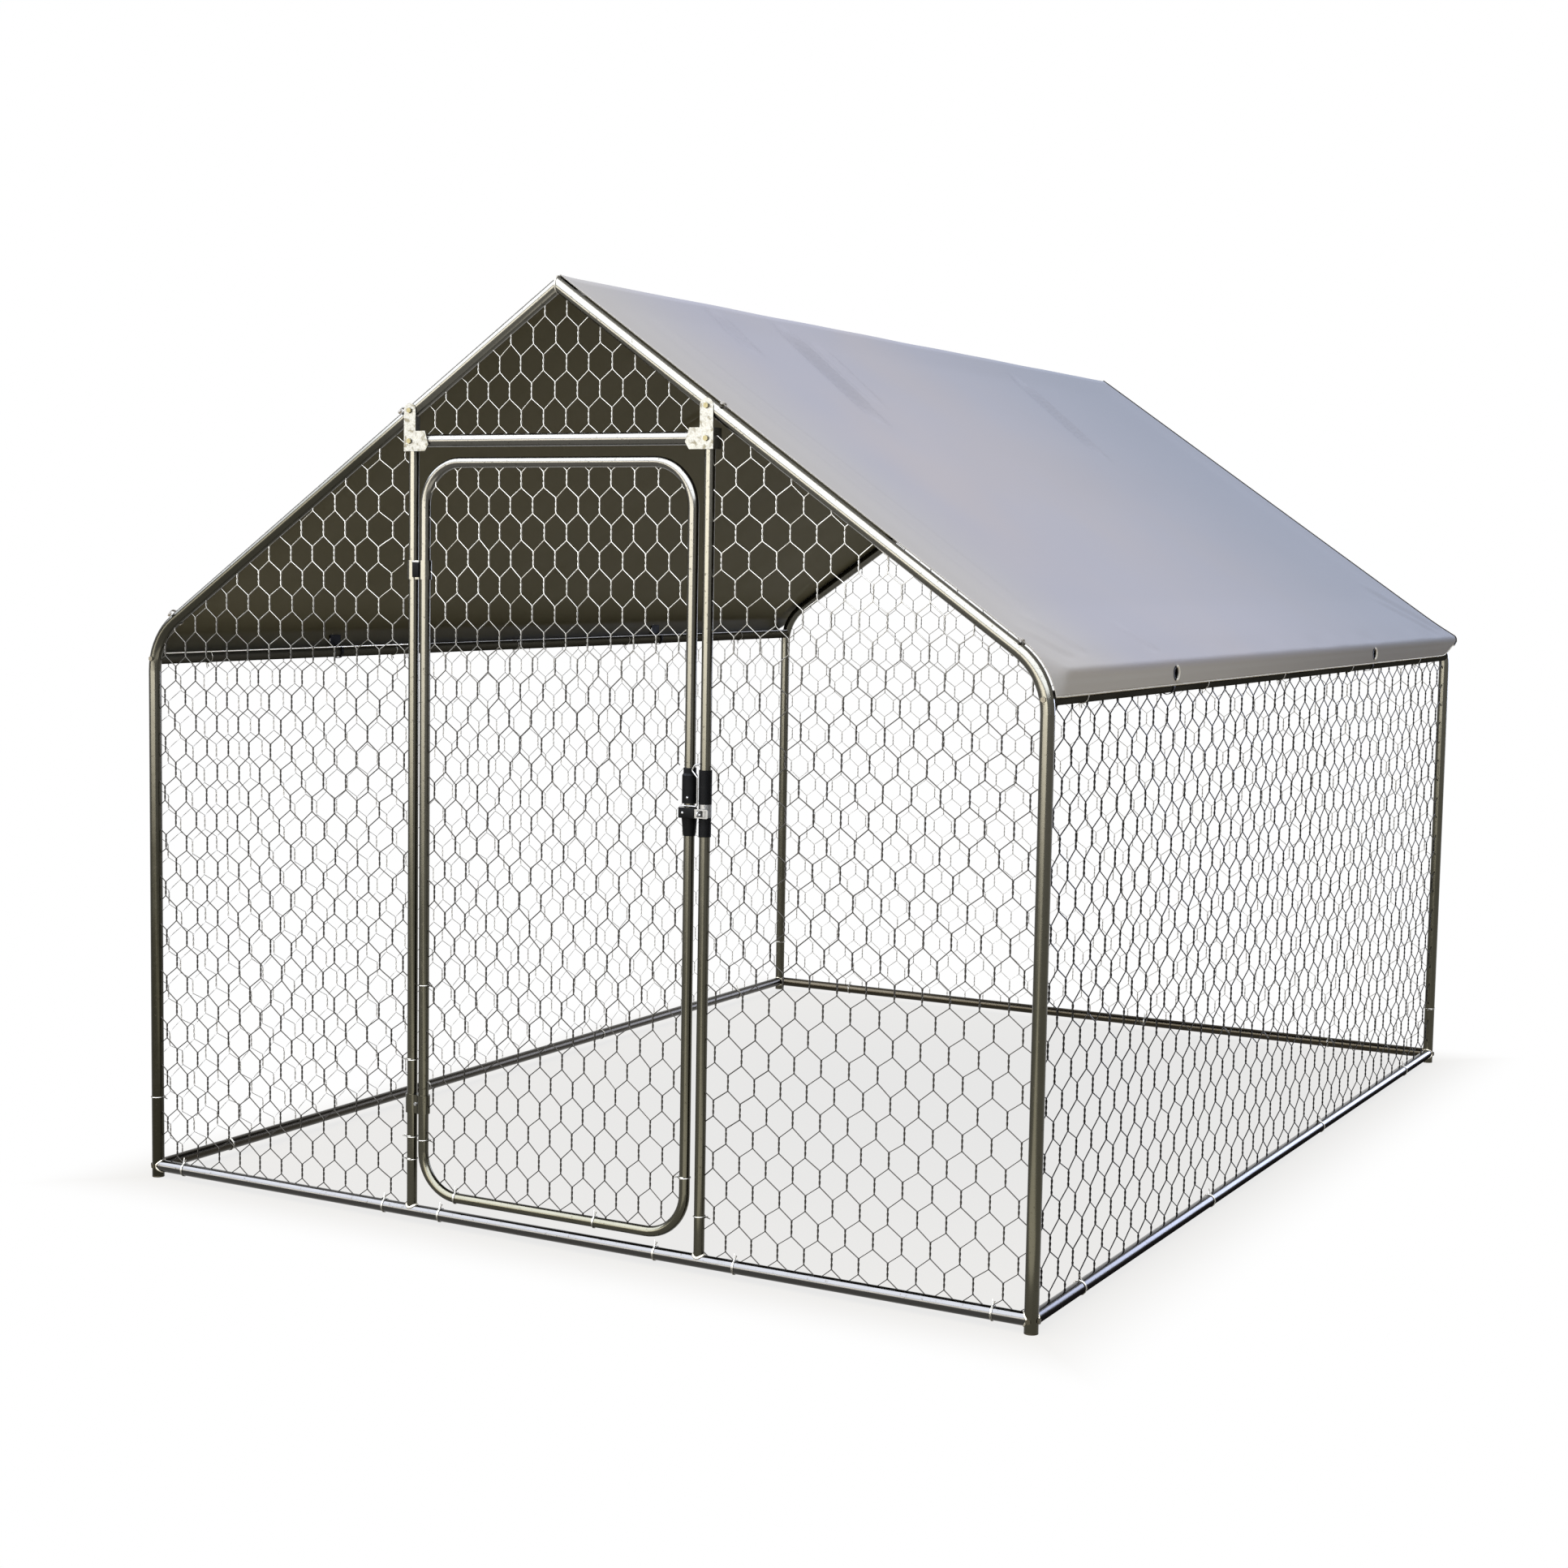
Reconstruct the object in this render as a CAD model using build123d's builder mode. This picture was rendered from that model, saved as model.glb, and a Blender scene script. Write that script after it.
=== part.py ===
"""Walk-in poultry run: tube arches and rails, netted walls, a latched door and a tarpaulin roof.

+X runs across the front to the right, +Y to the rear, +Z up. The origin is on the ground,
in the middle of the plan. All sizes are millimetres.
"""
from build123d import *
import os
from math import atan2, cos, radians, sin, tan

os.makedirs("parts", exist_ok=True)

# Frame
frame_width = 2200        # over the corner posts
arch_spacing = 2960       # front arch to rear arch, centre to centre
peak_height = 1981        # centre line of the rafters at the ridge
knee_height = 1237        # where the post line and the rafter line would meet
knee_radius = 140         # centre line of the bend at the eaves
base_height = 26          # centre line of the base rails
eave_angle = 11.5         # place of the eave rail on the bend, in degrees
arch_dia = 28
rail_dia = 27
ridge_dia = 25
tube_wall = 1.5
joiner_leg = 120          # how far the ridge joiner reaches into each rafter
joiner_play = 0.4
cap_flange = 3
cap_plug = 10            # how far the plug stands up in the post

# Door and what carries it
door_tube_dia = 22
door_post_x = 360
hinge_gap = 8             # door post to door tube on the hinge side
latch_gap = 14            # the same on the latch side
lintel_height = 1672
door_bottom = 69          # centre line of the bottom bar
door_top = 1627           # centre line of the top bar
door_corner = 90
bracket_wide = 32
bracket_deep = 30
bracket_low = 1650
bracket_high = 1692
bracket_reach = 39        # door post axis to the plate's inner end, in front of the lintel
bracket_nose = 48         # the same at the tip of the plate
bracket_slant = 14        # height of the tip above the plate's lower edge
tab_flange = 1722         # top of the flange on the tab's inner edge
tab_radius = 15
sheet = 2
fold_radius = 1.5

# Hinges
hinge_heights = (262, 1403)
hinge_tall = 40
hinge_wall = 3
hinge_bridge = 19         # thickness of the block between the two tubes
running_play = 0.08
hinge_sweep = 30          # room the swinging hinge needs beside the door post

# Latch and keeper
latch_height = 934        # middle of the tongue
tongue_tall = 18
tongue_thick = 2.5
tongue_offset = 16        # door tube axis to the back of the tongue
tongue_start = -6
tongue_end = 53
tongue_corner = 3
slot_start = 33.4
slot_end = 48.2
slot_tall = 13
grip_bottom = 887
grip_top_radius = 15.5
grip_low_radius = 12.4
grip_shoulder = 4         # full width of the grip below its pad
grip_sweep = 24.5         # room the turning grip needs round the door tube
pad_wide = 18
block_bottom = 952
block_top = 1008
neck_top = 1023
neck_radius = 13
neck_slope = 4
neck_chamfer = 0.8
keeper_radius = 13.2
low_keeper_radius = 12.6
keeper_bottom = 887
keeper_top = 1020
band_bottom = 926
band_top = 952
band_radius = 13
staple_thick = 3
staple_tall = 11
staple_reach = 32         # post axis to the tip of the staple
staple_hole = 3.5
staple_rim = 4            # metal round the hole
staple_root = 12          # the staple starts inside its band
hook_wire = 1.6           # radius of the hook's wire
hook_play = 0.15
hook_bend = 4
# Turns of the hook's wire: across from the door tube's axis, and height
hook_turns = ((-14, 947.5), (25, 947.5), (25, 1005), (12, 1019), (18, 1029), (31, 1033))

# Netting
strand = 3
net_thick = 2
twist_share = 0.5         # straight side of a gap, as a share of its width
rise_share = 0.36         # slanting side's rise, as a share of its width
wall_gap = 215
front_gap = 150
door_gap = 125
gable_gap = 110
least_gap_area = 150
notch_play = 2

# Roof cover
cover_play = 0.5
cover_thick = 1
cover_setback = 6         # front edge behind the front arch's centre line
skirt_height = 1195       # lower edge of the skirt
crease_radius = 20        # outer radius of the crease between slope and skirt
eyelet_places = (-840, 670)
eyelet_height = 1219
eyelet_bore = 10.5
eyelet_wall = 1
eyelet_play = 0.2
eyelet_lip = 1            # how far the sleeve stands out of the sheet on each side
eyelet_flange = 15.5
flange_thick = 1.2
flange_play = 0.3
tie_loop = 16.4           # middle of the strap's thickness to the rail's axis, behind the skirt
tie_thick = 1.2
tie_wide = 8
strap_play = 1            # room round a strap in the side net

# Bolts
bolt_radius = 3
bolt_play = 0.2
bolt_head = 4
bolt_across = 10
bolt_shank = 9
rivet_radius = 2.5
rivet_head = 1.5
rivet_head_radius = 4.25
rivet_taper = 25

# Worked out
arch_r = arch_dia / 2
rail_r = rail_dia / 2
door_r = door_tube_dia / 2
post_x = frame_width / 2 - arch_r
arch_y = arch_spacing / 2
slope = (peak_height - knee_height) / post_x
pitch = atan2(peak_height - knee_height, post_x)
bend_turn = radians(90) - pitch
bend_low = knee_height - knee_radius * tan(bend_turn / 2)
bend_x = post_x - knee_radius
eave_x = bend_x + knee_radius * cos(radians(eave_angle))
eave_height = bend_low + knee_radius * sin(radians(eave_angle))
door_left = -door_post_x + door_tube_dia + hinge_gap
door_right = door_post_x - door_tube_dia - latch_gap
front = Plane.XZ.offset(arch_y)
rear = Plane.XZ.offset(-arch_y)


def save(piece, name):
    """Name a finished piece and write it."""
    piece.label = name
    export_step(piece, f"parts/{name}.step")


def rafter_height(x, drop=0.0):
    """Height of the rafter's centre line at x, or of a line that far below it, square to it."""
    return peak_height - abs(x) * slope - drop / cos(pitch)


def half_arch(side, plane, outer, inner=0.0):
    """One bent tube: corner post, bend at the eaves and rafter up to the ridge."""
    over = 2 * arch_dia
    foot = (side * post_x, cap_flange)
    knee = (side * post_x, knee_height)
    beyond = (-side * over, peak_height + over * slope)
    with BuildPart() as tube:
        with BuildLine(plane) as path:
            FilletPolyline(foot, knee, beyond, radius=knee_radius)
        with BuildSketch(Plane(origin=path.line @ 0)):
            Circle(outer)
            if inner:
                Circle(inner, mode=Mode.SUBTRACT)
        sweep(path=path.line)
        split(bisect_by=Plane.YZ, keep=Keep.TOP if side > 0 else Keep.BOTTOM)
    return tube.part


def straight_tube(start, end, dia):
    """A tube with square ends from one point to another."""
    run = Vector(end) - Vector(start)
    with BuildPart() as tube:
        with BuildSketch(Plane(origin=start, z_dir=run)):
            Circle(dia / 2)
            Circle(dia / 2 - tube_wall, mode=Mode.SUBTRACT)
        extrude(amount=run.length)
    return tube.part


def coped(tube, *others):
    """A tube whose ends are cut to sit on other tubes."""
    with BuildPart() as fitted:
        add(tube)
        for other in others:
            add(other, mode=Mode.SUBTRACT)
    return fitted.part


def rod(start, end, radius):
    """A solid round bar, also used to drill and to cope."""
    run = Vector(end) - Vector(start)
    with BuildPart() as bar:
        with BuildSketch(Plane(origin=start, z_dir=run)):
            Circle(radius)
        extrude(amount=run.length)
    return bar.part


def bolt(seat, inward):
    """Hexagon bolt: its head stands on the seat and its shank goes inward."""
    with BuildPart() as screw:
        with BuildSketch(Plane(origin=seat, z_dir=inward)):
            Circle(bolt_radius)
        extrude(amount=bolt_shank)
        with BuildSketch(Plane(origin=seat, z_dir=inward)):
            RegularPolygon(bolt_across / 2, 6, major_radius=False)
        extrude(amount=-bolt_head)
    return screw.part


def rivet(seat, inward, reach):
    """Domed rivet: a low head on the seat and a shank as long as it reaches."""
    with BuildPart() as pin:
        with BuildSketch(Plane(origin=seat, z_dir=inward)):
            Circle(rivet_radius)
        extrude(amount=reach)
        with BuildSketch(Plane(origin=seat, z_dir=inward)):
            Circle(rivet_head_radius)
        extrude(amount=-rivet_head, taper=rivet_taper)
    return pin.part


def net_face(plane, outline, gap):
    """Flat hexagon netting: one face, cut to its outline, with a plain band along its edges."""
    middle = outline.center(CenterOf.BOUNDING_BOX)
    size = outline.bounding_box().size
    row = gap * (twist_share + rise_share)
    side = (gap - strand) / 2
    low = gap * twist_share / 2 - strand / 4
    tip = low + gap * rise_share * side / (gap / 2)
    columns = int(size.X / gap) + 3
    rows = int(size.Y / (2 * row)) + 3
    corners = [(side, low), (0, tip), (-side, low), (-side, -low), (0, -tip), (side, -low)]
    with BuildSketch() as gaps:
        for shift in ((0, 0), (gap / 2, row)):
            with Locations((middle.X + shift[0], middle.Y + shift[1])):
                with GridLocations(gap, 2 * row, columns, rows):
                    Polygon(*corners)
        add(offset(outline, amount=-strand, kind=Kind.INTERSECTION, mode=Mode.PRIVATE), mode=Mode.INTERSECT)
    holes = [face for face in gaps.sketch.faces() if face.area > least_gap_area]
    with BuildPart() as panel:
        with BuildSketch(plane.offset(-net_thick / 2)):
            add(outline)
            add(holes, mode=Mode.SUBTRACT)
        extrude(amount=net_thick)
    return panel.part, len(holes)


# Places of the bolts: seat, then the way in
corner_bolts = []
for side in (-1, 1):
    for way in (-1, 1):
        foot_end = (side * post_x, way * (arch_y + arch_r), base_height)
        corner_bolts.append((foot_end, (0, -way, 0)))
        foot_side = (side * (post_x + arch_r), way * arch_y, base_height)
        corner_bolts.append((foot_side, (-side, 0, 0)))
        eave_end = (side * eave_x, way * (arch_y + arch_r), eave_height)
        corner_bolts.append((eave_end, (0, -way, 0)))
bracket_seat = -arch_y - arch_r - sheet
body_bolt_height = (bracket_low + bracket_high) / 2
bracket_bolts = []
for side in (-1, 1):
    for height in (rafter_height(door_post_x), body_bolt_height):
        bracket_bolts.append(((side * door_post_x, bracket_seat, height), (0, 1, 0)))


def bolt_holes(places):
    """Clearance holes for a list of bolts."""
    holes = []
    for seat, inward in places:
        mouth = Vector(seat) - Vector(inward)
        end = Vector(seat) + Vector(inward) * (bolt_shank + 1)
        holes.append(rod(mouth, end, bolt_radius + bolt_play))
    return holes


# Arches, with their bolt holes drilled
drills = bolt_holes(corner_bolts + bracket_bolts)
arch_cores = []
for end_name, plane in (("front", front), ("rear", rear)):
    for side_name, side in (("left", -1), ("right", 1)):
        arch_cores.append(half_arch(side, plane, arch_r))
        arch_tube = half_arch(side, plane, arch_r, arch_r - tube_wall)
        save(coped(arch_tube, *drills), f"{end_name}_{side_name}_arch")

# Ridge joiners: a bent spigot inside the two rafters of an arch
joiner_r = arch_r - tube_wall - joiner_play


def joiner_half(side, y):
    """One leg of a joiner, mitred at the ridge."""
    low_x = joiner_leg * cos(pitch)
    low = (side * low_x, y, rafter_height(low_x))
    beyond = (-side * arch_r, y, peak_height + arch_r * slope)
    with BuildPart() as leg:
        add(rod(low, beyond, joiner_r))
        split(bisect_by=Plane.YZ, keep=Keep.TOP if side > 0 else Keep.BOTTOM)
    return leg.part


for end_name, y in (("front", -arch_y), ("rear", arch_y)):
    with BuildPart() as ridge_joiner:
        add(joiner_half(-1, y))
        add(joiner_half(1, y))
    save(ridge_joiner.part, f"{end_name}_ridge_joiner")

# Foot caps: a flat flange under each post with a plug in its bore
with BuildPart() as foot_caps:
    with GridLocations(2 * post_x, arch_spacing, 2, 2):
        Cylinder(arch_r, cap_flange, align=(Align.CENTER, Align.CENTER, Align.MIN))
        Cylinder(joiner_r, cap_flange + cap_plug, align=(Align.CENTER, Align.CENTER, Align.MIN))
save(foot_caps.part, "foot_caps")

# Ridge and eave tubes
ridge_run = straight_tube((0, -arch_y, peak_height), (0, arch_y, peak_height), ridge_dia)
save(coped(ridge_run, *arch_cores), "ridge_tube")
for side_name, side in (("left", -1), ("right", 1)):
    run = straight_tube((side * eave_x, -arch_y, eave_height), (side * eave_x, arch_y, eave_height), rail_dia)
    save(coped(run, *arch_cores, *drills), f"{side_name}_eave_rail")

# Base rails
rail_cores = []
for end_name, y in (("front", -arch_y), ("rear", arch_y)):
    ends = (-post_x, y, base_height), (post_x, y, base_height)
    rail_cores.append(rod(*ends, rail_r))
    save(coped(straight_tube(*ends, rail_dia), *arch_cores), f"{end_name}_base_rail")
for side_name, side in (("left", -1), ("right", 1)):
    ends = (side * post_x, -arch_y, base_height), (side * post_x, arch_y, base_height)
    save(coped(straight_tube(*ends, rail_dia), *arch_cores, *rail_cores), f"{side_name}_base_rail")

# Door posts and lintel
flange_x = door_post_x - bracket_wide / 2
for side_name, side in (("left", -1), ("right", 1)):
    top = bracket_high - sheet
    run = straight_tube((side * door_post_x, -arch_y, base_height), (side * door_post_x, -arch_y, top), door_tube_dia)
    save(coped(run, rail_cores[0], *drills), f"{side_name}_door_post")
save(straight_tube((-flange_x, -arch_y, lintel_height), (flange_x, -arch_y, lintel_height), rail_dia), "lintel")

# Lintel brackets: a folded channel over the post's top with a tab bolted to the rafter
for side_name, side in (("left", -1), ("right", 1)):
    tab_height = rafter_height(door_post_x)
    body_middle = (bracket_low + bracket_high) / 2
    with BuildPart() as lintel_bracket:
        with BuildSketch(Plane.XZ.offset(arch_y + arch_r)):
            Polygon(
                (side * (door_post_x + bracket_wide / 2), bracket_low),
                (side * (door_post_x + bracket_wide / 2), bracket_high),
                (side * (door_post_x - bracket_reach), bracket_high),
                (side * (door_post_x - bracket_nose), bracket_low + bracket_slant),
                (side * (door_post_x - bracket_reach), bracket_low),
                align=None,
            )
            with Locations((side * door_post_x, (bracket_high + tab_height) / 2)):
                Rectangle(2 * tab_radius, tab_height - bracket_high)
            with Locations((side * door_post_x, tab_height)):
                Circle(tab_radius)
            with Locations((side * door_post_x, tab_height), (side * door_post_x, body_middle)):
                Circle(bolt_radius + bolt_play, mode=Mode.SUBTRACT)
        extrude(amount=sheet)
        with BuildSketch(Plane.XY.offset(bracket_low)):
            for edge in (-1, 1):
                flange_middle = side * door_post_x + edge * (bracket_wide - sheet) / 2
                with Locations((flange_middle, -arch_y - arch_r + bracket_deep / 2)):
                    Rectangle(sheet, bracket_deep)
        extrude(amount=bracket_high - bracket_low)
        with BuildSketch(Plane.XY.offset(bracket_high)):
            with Locations((side * (door_post_x - tab_radius + sheet / 2), -arch_y - arch_r / 2)):
                Rectangle(sheet, arch_r)
        extrude(amount=tab_flange - bracket_high)
        front_edges = lintel_bracket.edges().filter_by(Axis.Z).group_by(Axis.Y)[0].sort_by(Axis.X)
        fillet(front_edges[-1 if side > 0 else 0], radius=fold_radius)
    save(lintel_bracket.part, f"{side_name}_lintel_bracket")

# Bolts, one node for each kind
for name, places in (("corner_bolts", corner_bolts), ("bracket_bolts", bracket_bolts)):
    with BuildPart() as bolt_set:
        for seat, inward in places:
            add(bolt(seat, inward))
    save(bolt_set.part, name)

# Door frame: one tube bent round to a rounded rectangle, welded in the middle of its bars
door_middle = (door_left + door_right) / 2
with BuildPart() as door_frame:
    with BuildLine(front) as half_loop:
        FilletPolyline(
            (door_middle, door_top),
            (door_right, door_top),
            (door_right, door_bottom),
            (door_middle, door_bottom),
            radius=door_corner,
        )
    with BuildSketch(Plane(origin=half_loop.line @ 0, z_dir=half_loop.line % 0)):
        Circle(door_r)
        Circle(door_r - tube_wall, mode=Mode.SUBTRACT)
    sweep(path=half_loop.line)
    mirror(about=Plane.YZ.offset(door_middle))
save(door_frame.part, "door_frame")

# Hinges: two shells clamped round the door tube, free to turn on the door post
hinge_outer = door_r + hinge_wall
waist_x = (-door_post_x + door_left) / 2
for level_name, height in zip(("lower", "upper"), hinge_heights):
    for half_name, keep in (("front", Keep.BOTTOM), ("rear", Keep.TOP)):
        with BuildPart() as hinge_shell:
            with BuildSketch(Plane.XY.offset(height - hinge_tall / 2)):
                with Locations((-door_post_x, -arch_y), (door_left, -arch_y)):
                    Circle(hinge_outer)
                with Locations((waist_x, -arch_y)):
                    Rectangle(door_left + door_post_x - door_r, hinge_bridge)
                with Locations((-door_post_x, -arch_y), (door_left, -arch_y)):
                    Circle(door_r + running_play, mode=Mode.SUBTRACT)
            extrude(amount=hinge_tall)
            split(bisect_by=Plane(origin=(0, -arch_y, 0), z_dir=(0, 1, 0)), keep=keep)
            with BuildSketch(Plane(origin=(waist_x, -arch_y - hinge_outer, height), z_dir=(0, 1, 0))):
                Circle(rivet_radius + bolt_play)
            extrude(amount=2 * hinge_outer, mode=Mode.SUBTRACT)
        save(hinge_shell.part, f"{level_name}_hinge_{half_name}_shell")
with BuildPart() as hinge_rivets:
    for height in hinge_heights:
        seat = hinge_bridge / 2
        add(rivet((waist_x, -arch_y - seat, height), (0, 1, 0), seat))
        add(rivet((waist_x, -arch_y + seat, height), (0, -1, 0), seat))
save(hinge_rivets.part, "hinge_rivets")

# Latch block: fixed on the door tube above the turning grip
with BuildPart() as latch_block:
    with BuildSketch(Plane(origin=(door_right, -arch_y, 0), x_dir=(1, 0, 0), z_dir=(0, -1, 0))):
        with BuildLine():
            Polyline(
                (door_r + running_play, block_bottom),
                (grip_top_radius, block_bottom),
                (grip_top_radius, block_top),
                (neck_radius, block_top + neck_slope),
                (neck_radius, neck_top),
                (door_r + running_play, neck_top),
                close=True,
            )
        make_face()
    revolve(axis=Axis((door_right, -arch_y, 0), (0, 0, 1)))
    neck_rim = latch_block.edges().filter_by(GeomType.CIRCLE).sort_by(Axis.Z)[-1:]
    chamfer(neck_rim, neck_chamfer)
save(latch_block.part, "latch_block")

# Latch grip: a tapered sleeve that turns on the door tube, with a flat pad for the tongue
tongue_low = latch_height - tongue_tall / 2
tongue_high = latch_height + tongue_tall / 2
with BuildPart() as latch_grip:
    with BuildSketch(Plane(origin=(door_right, -arch_y, 0), x_dir=(1, 0, 0), z_dir=(0, -1, 0))):
        with BuildLine():
            Polyline(
                (0, grip_bottom),
                (grip_low_radius, grip_bottom),
                (grip_top_radius, tongue_low - grip_shoulder),
                (grip_top_radius, tongue_high),
                (0, tongue_high),
                close=True,
            )
        make_face()
    revolve(axis=Axis((door_right, -arch_y, 0), (0, 0, 1)))
    with BuildSketch(Plane.XY.offset(tongue_low)):
        with Locations((door_right, -arch_y - tongue_offset / 2)):
            Rectangle(pad_wide, tongue_offset)
    extrude(amount=tongue_tall)
    with BuildSketch(Plane(origin=(door_right, -arch_y, grip_bottom))):
        Circle(door_r + running_play)
    extrude(amount=tongue_high - grip_bottom, mode=Mode.SUBTRACT)
save(latch_grip.part, "latch_grip")

# Latch tongue: a steel strap across the gap, slotted over the staple
with BuildPart() as latch_tongue:
    with BuildSketch(Plane.XZ.offset(arch_y + tongue_offset)):
        with Locations((door_right + (tongue_start + tongue_end) / 2, latch_height)):
            RectangleRounded(tongue_end - tongue_start, tongue_tall, tongue_corner)
        with Locations((door_right + (slot_start + slot_end) / 2, latch_height)):
            Rectangle(slot_end - slot_start, slot_tall, mode=Mode.SUBTRACT)
        with Locations((door_right, latch_height)):
            Circle(rivet_radius + bolt_play, mode=Mode.SUBTRACT)
    extrude(amount=tongue_thick)
save(latch_tongue.part, "latch_tongue")

with BuildPart() as tongue_rivet:
    add(rivet((door_right, -arch_y - tongue_offset - tongue_thick, latch_height), (0, 1, 0), tongue_thick))
save(tongue_rivet.part, "tongue_rivet")

# Latch hook: a bent wire that runs under the block, up beside it and over to the keeper's post
hook_y = -arch_y - door_r - hook_wire - hook_play
with BuildPart() as latch_hook:
    with BuildLine(Plane(origin=(door_right, hook_y, 0), x_dir=(1, 0, 0), z_dir=(0, -1, 0))) as hook_path:
        FilletPolyline(*hook_turns, radius=hook_bend)
    with BuildSketch(Plane(origin=hook_path.line @ 0, z_dir=hook_path.line % 0)):
        Circle(hook_wire)
    sweep(path=hook_path.line)
save(latch_hook.part, "latch_hook")


def keeper_sleeve(low, high, radius):
    """A plain sleeve on the right door post."""
    with BuildPart() as sleeve:
        with BuildSketch(Plane(origin=(door_post_x, -arch_y, low))):
            Circle(radius)
            Circle(door_r + running_play, mode=Mode.SUBTRACT)
        extrude(amount=high - low)
    return sleeve.part


save(keeper_sleeve(band_top, keeper_top, keeper_radius), "upper_keeper_sleeve")
save(keeper_sleeve(keeper_bottom, band_bottom, low_keeper_radius), "lower_keeper_sleeve")

# Keeper staple: a band round the post with an eye that takes a padlock
with BuildPart() as keeper_staple:
    add(keeper_sleeve(band_bottom, band_top, band_radius))
    eye_middle = staple_reach - staple_hole - staple_rim
    with BuildSketch(Plane.YZ.offset(door_post_x)):
        with Locations((-arch_y - (staple_root + staple_reach) / 2, latch_height)):
            Rectangle(staple_reach - staple_root, staple_tall)
        with Locations((-arch_y - eye_middle, latch_height)):
            Circle(staple_hole, mode=Mode.SUBTRACT)
    extrude(amount=staple_thick / 2, both=True)
    eye_corners = keeper_staple.edges().filter_by(Axis.X).group_by(Axis.Y)[0]
    fillet(eye_corners, radius=staple_rim)
save(keeper_staple.part, "keeper_staple")

# Nets, each in the middle plane of the tubes that hold it
base_top = base_height + rail_r
wall_x = post_x - arch_r
inner_bend = knee_radius - arch_r
knee_in = rafter_height(wall_x, arch_r)
latch_low = grip_bottom - notch_play
latch_high = neck_top + notch_play

with BuildSketch() as side_outline:
    with Locations((0, (base_top + eave_height - rail_r) / 2)):
        Rectangle(arch_spacing - arch_dia, eave_height - rail_r - base_top)
    for y in eyelet_places:
        with Locations((y, eave_height - rail_r)):
            Rectangle(tie_wide + 2 * strap_play, 2 * (tie_loop + tie_thick / 2 - rail_r + strap_play), mode=Mode.SUBTRACT)

with BuildSketch() as rear_outline:
    with BuildLine():
        FilletPolyline(
            (0, base_top),
            (wall_x, base_top),
            (wall_x, knee_in),
            (0, rafter_height(0, arch_r)),
            radius=(0.01, inner_bend),
        )
        Line((0, rafter_height(0, arch_r)), (0, base_top))
    make_face()
    mirror(about=Plane.YZ)

with BuildSketch() as front_outline:
    post_edge = door_post_x + door_r
    with BuildLine():
        run = FilletPolyline(
            (post_edge, base_top),
            (wall_x, base_top),
            (wall_x, knee_in),
            (post_edge, rafter_height(post_edge, arch_r)),
            radius=(0.01, inner_bend),
        )
        Line(run @ 1, run @ 0)
    make_face()
    with Locations((door_post_x, (bracket_low + peak_height) / 2)):
        Rectangle(bracket_wide, peak_height - bracket_low, mode=Mode.SUBTRACT)

with BuildSketch() as front_right_outline:
    add(front_outline.sketch)
    with Locations((door_post_x, (latch_low + latch_high) / 2)):
        Rectangle(2 * (keeper_radius + notch_play), latch_high - latch_low, mode=Mode.SUBTRACT)

with BuildSketch() as front_left_outline:
    add(mirror(front_outline.sketch, about=Plane.YZ, mode=Mode.PRIVATE))
    with Locations(*[(-door_post_x, height) for height in hinge_heights]):
        Rectangle(2 * hinge_sweep, hinge_tall + 2 * notch_play, mode=Mode.SUBTRACT)

with BuildSketch() as gable_outline:
    lintel_top = lintel_height + rail_r
    gable_edge = flange_x
    with BuildLine():
        Polyline(
            (-gable_edge, lintel_top),
            (gable_edge, lintel_top),
            (gable_edge, rafter_height(gable_edge, arch_r)),
            (0, rafter_height(0, arch_r)),
            (-gable_edge, rafter_height(gable_edge, arch_r)),
            close=True,
        )
    make_face()

with BuildSketch() as door_outline:
    door_wide = door_right - door_left - door_tube_dia
    door_tall = door_top - door_bottom - door_tube_dia
    with Locations((door_middle, (door_top + door_bottom) / 2)):
        RectangleRounded(door_wide, door_tall, door_corner - door_r)
    with Locations((door_right, (latch_low + latch_high) / 2)):
        Rectangle(2 * grip_sweep, latch_high - latch_low, mode=Mode.SUBTRACT)
    with Locations(*[(door_left, height) for height in hinge_heights]):
        Rectangle(2 * (hinge_outer + notch_play), hinge_tall + 2 * notch_play, mode=Mode.SUBTRACT)

gap_count = 0
for name, plane, outline, gap in (
    ("left_net", Plane.YZ.offset(-post_x), side_outline, wall_gap),
    ("right_net", Plane.YZ.offset(post_x), side_outline, wall_gap),
    ("rear_net", rear, rear_outline, wall_gap),
    ("front_left_net", front, front_left_outline, front_gap),
    ("front_right_net", front, front_right_outline, front_gap),
    ("gable_net", front, gable_outline, gable_gap),
    ("door_net", front, door_outline, door_gap),
):
    panel, holes = net_face(plane, outline.sketch, gap)
    gap_count += holes
    save(panel, name)
print("gaps in all nets:", gap_count)

# Roof cover: one sheet over both arches, creased at the eaves into a short skirt
cover_in = arch_r + cover_play
cover_out = cover_in + cover_thick
cover_rear = arch_y + staple_reach
eyelets = [(side, y) for side in (-1, 1) for y in eyelet_places]


def eyelet_plane(side, y, stand):
    """Plane of an eyelet, facing out, that far from the posts' centre line."""
    return Plane(origin=(side * (post_x + stand), y, eyelet_height), x_dir=(0, 1, 0), z_dir=(side, 0, 0))


def cover_line(gap):
    """Half of the cover's section at that distance from the tubes' centre line."""
    side_x = post_x + gap
    peak = peak_height + gap / cos(pitch)
    corners = (0, peak), (side_x, peak - side_x * slope), (side_x, skirt_height)
    return FilletPolyline(*corners, radius=crease_radius - cover_out + gap)


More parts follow.
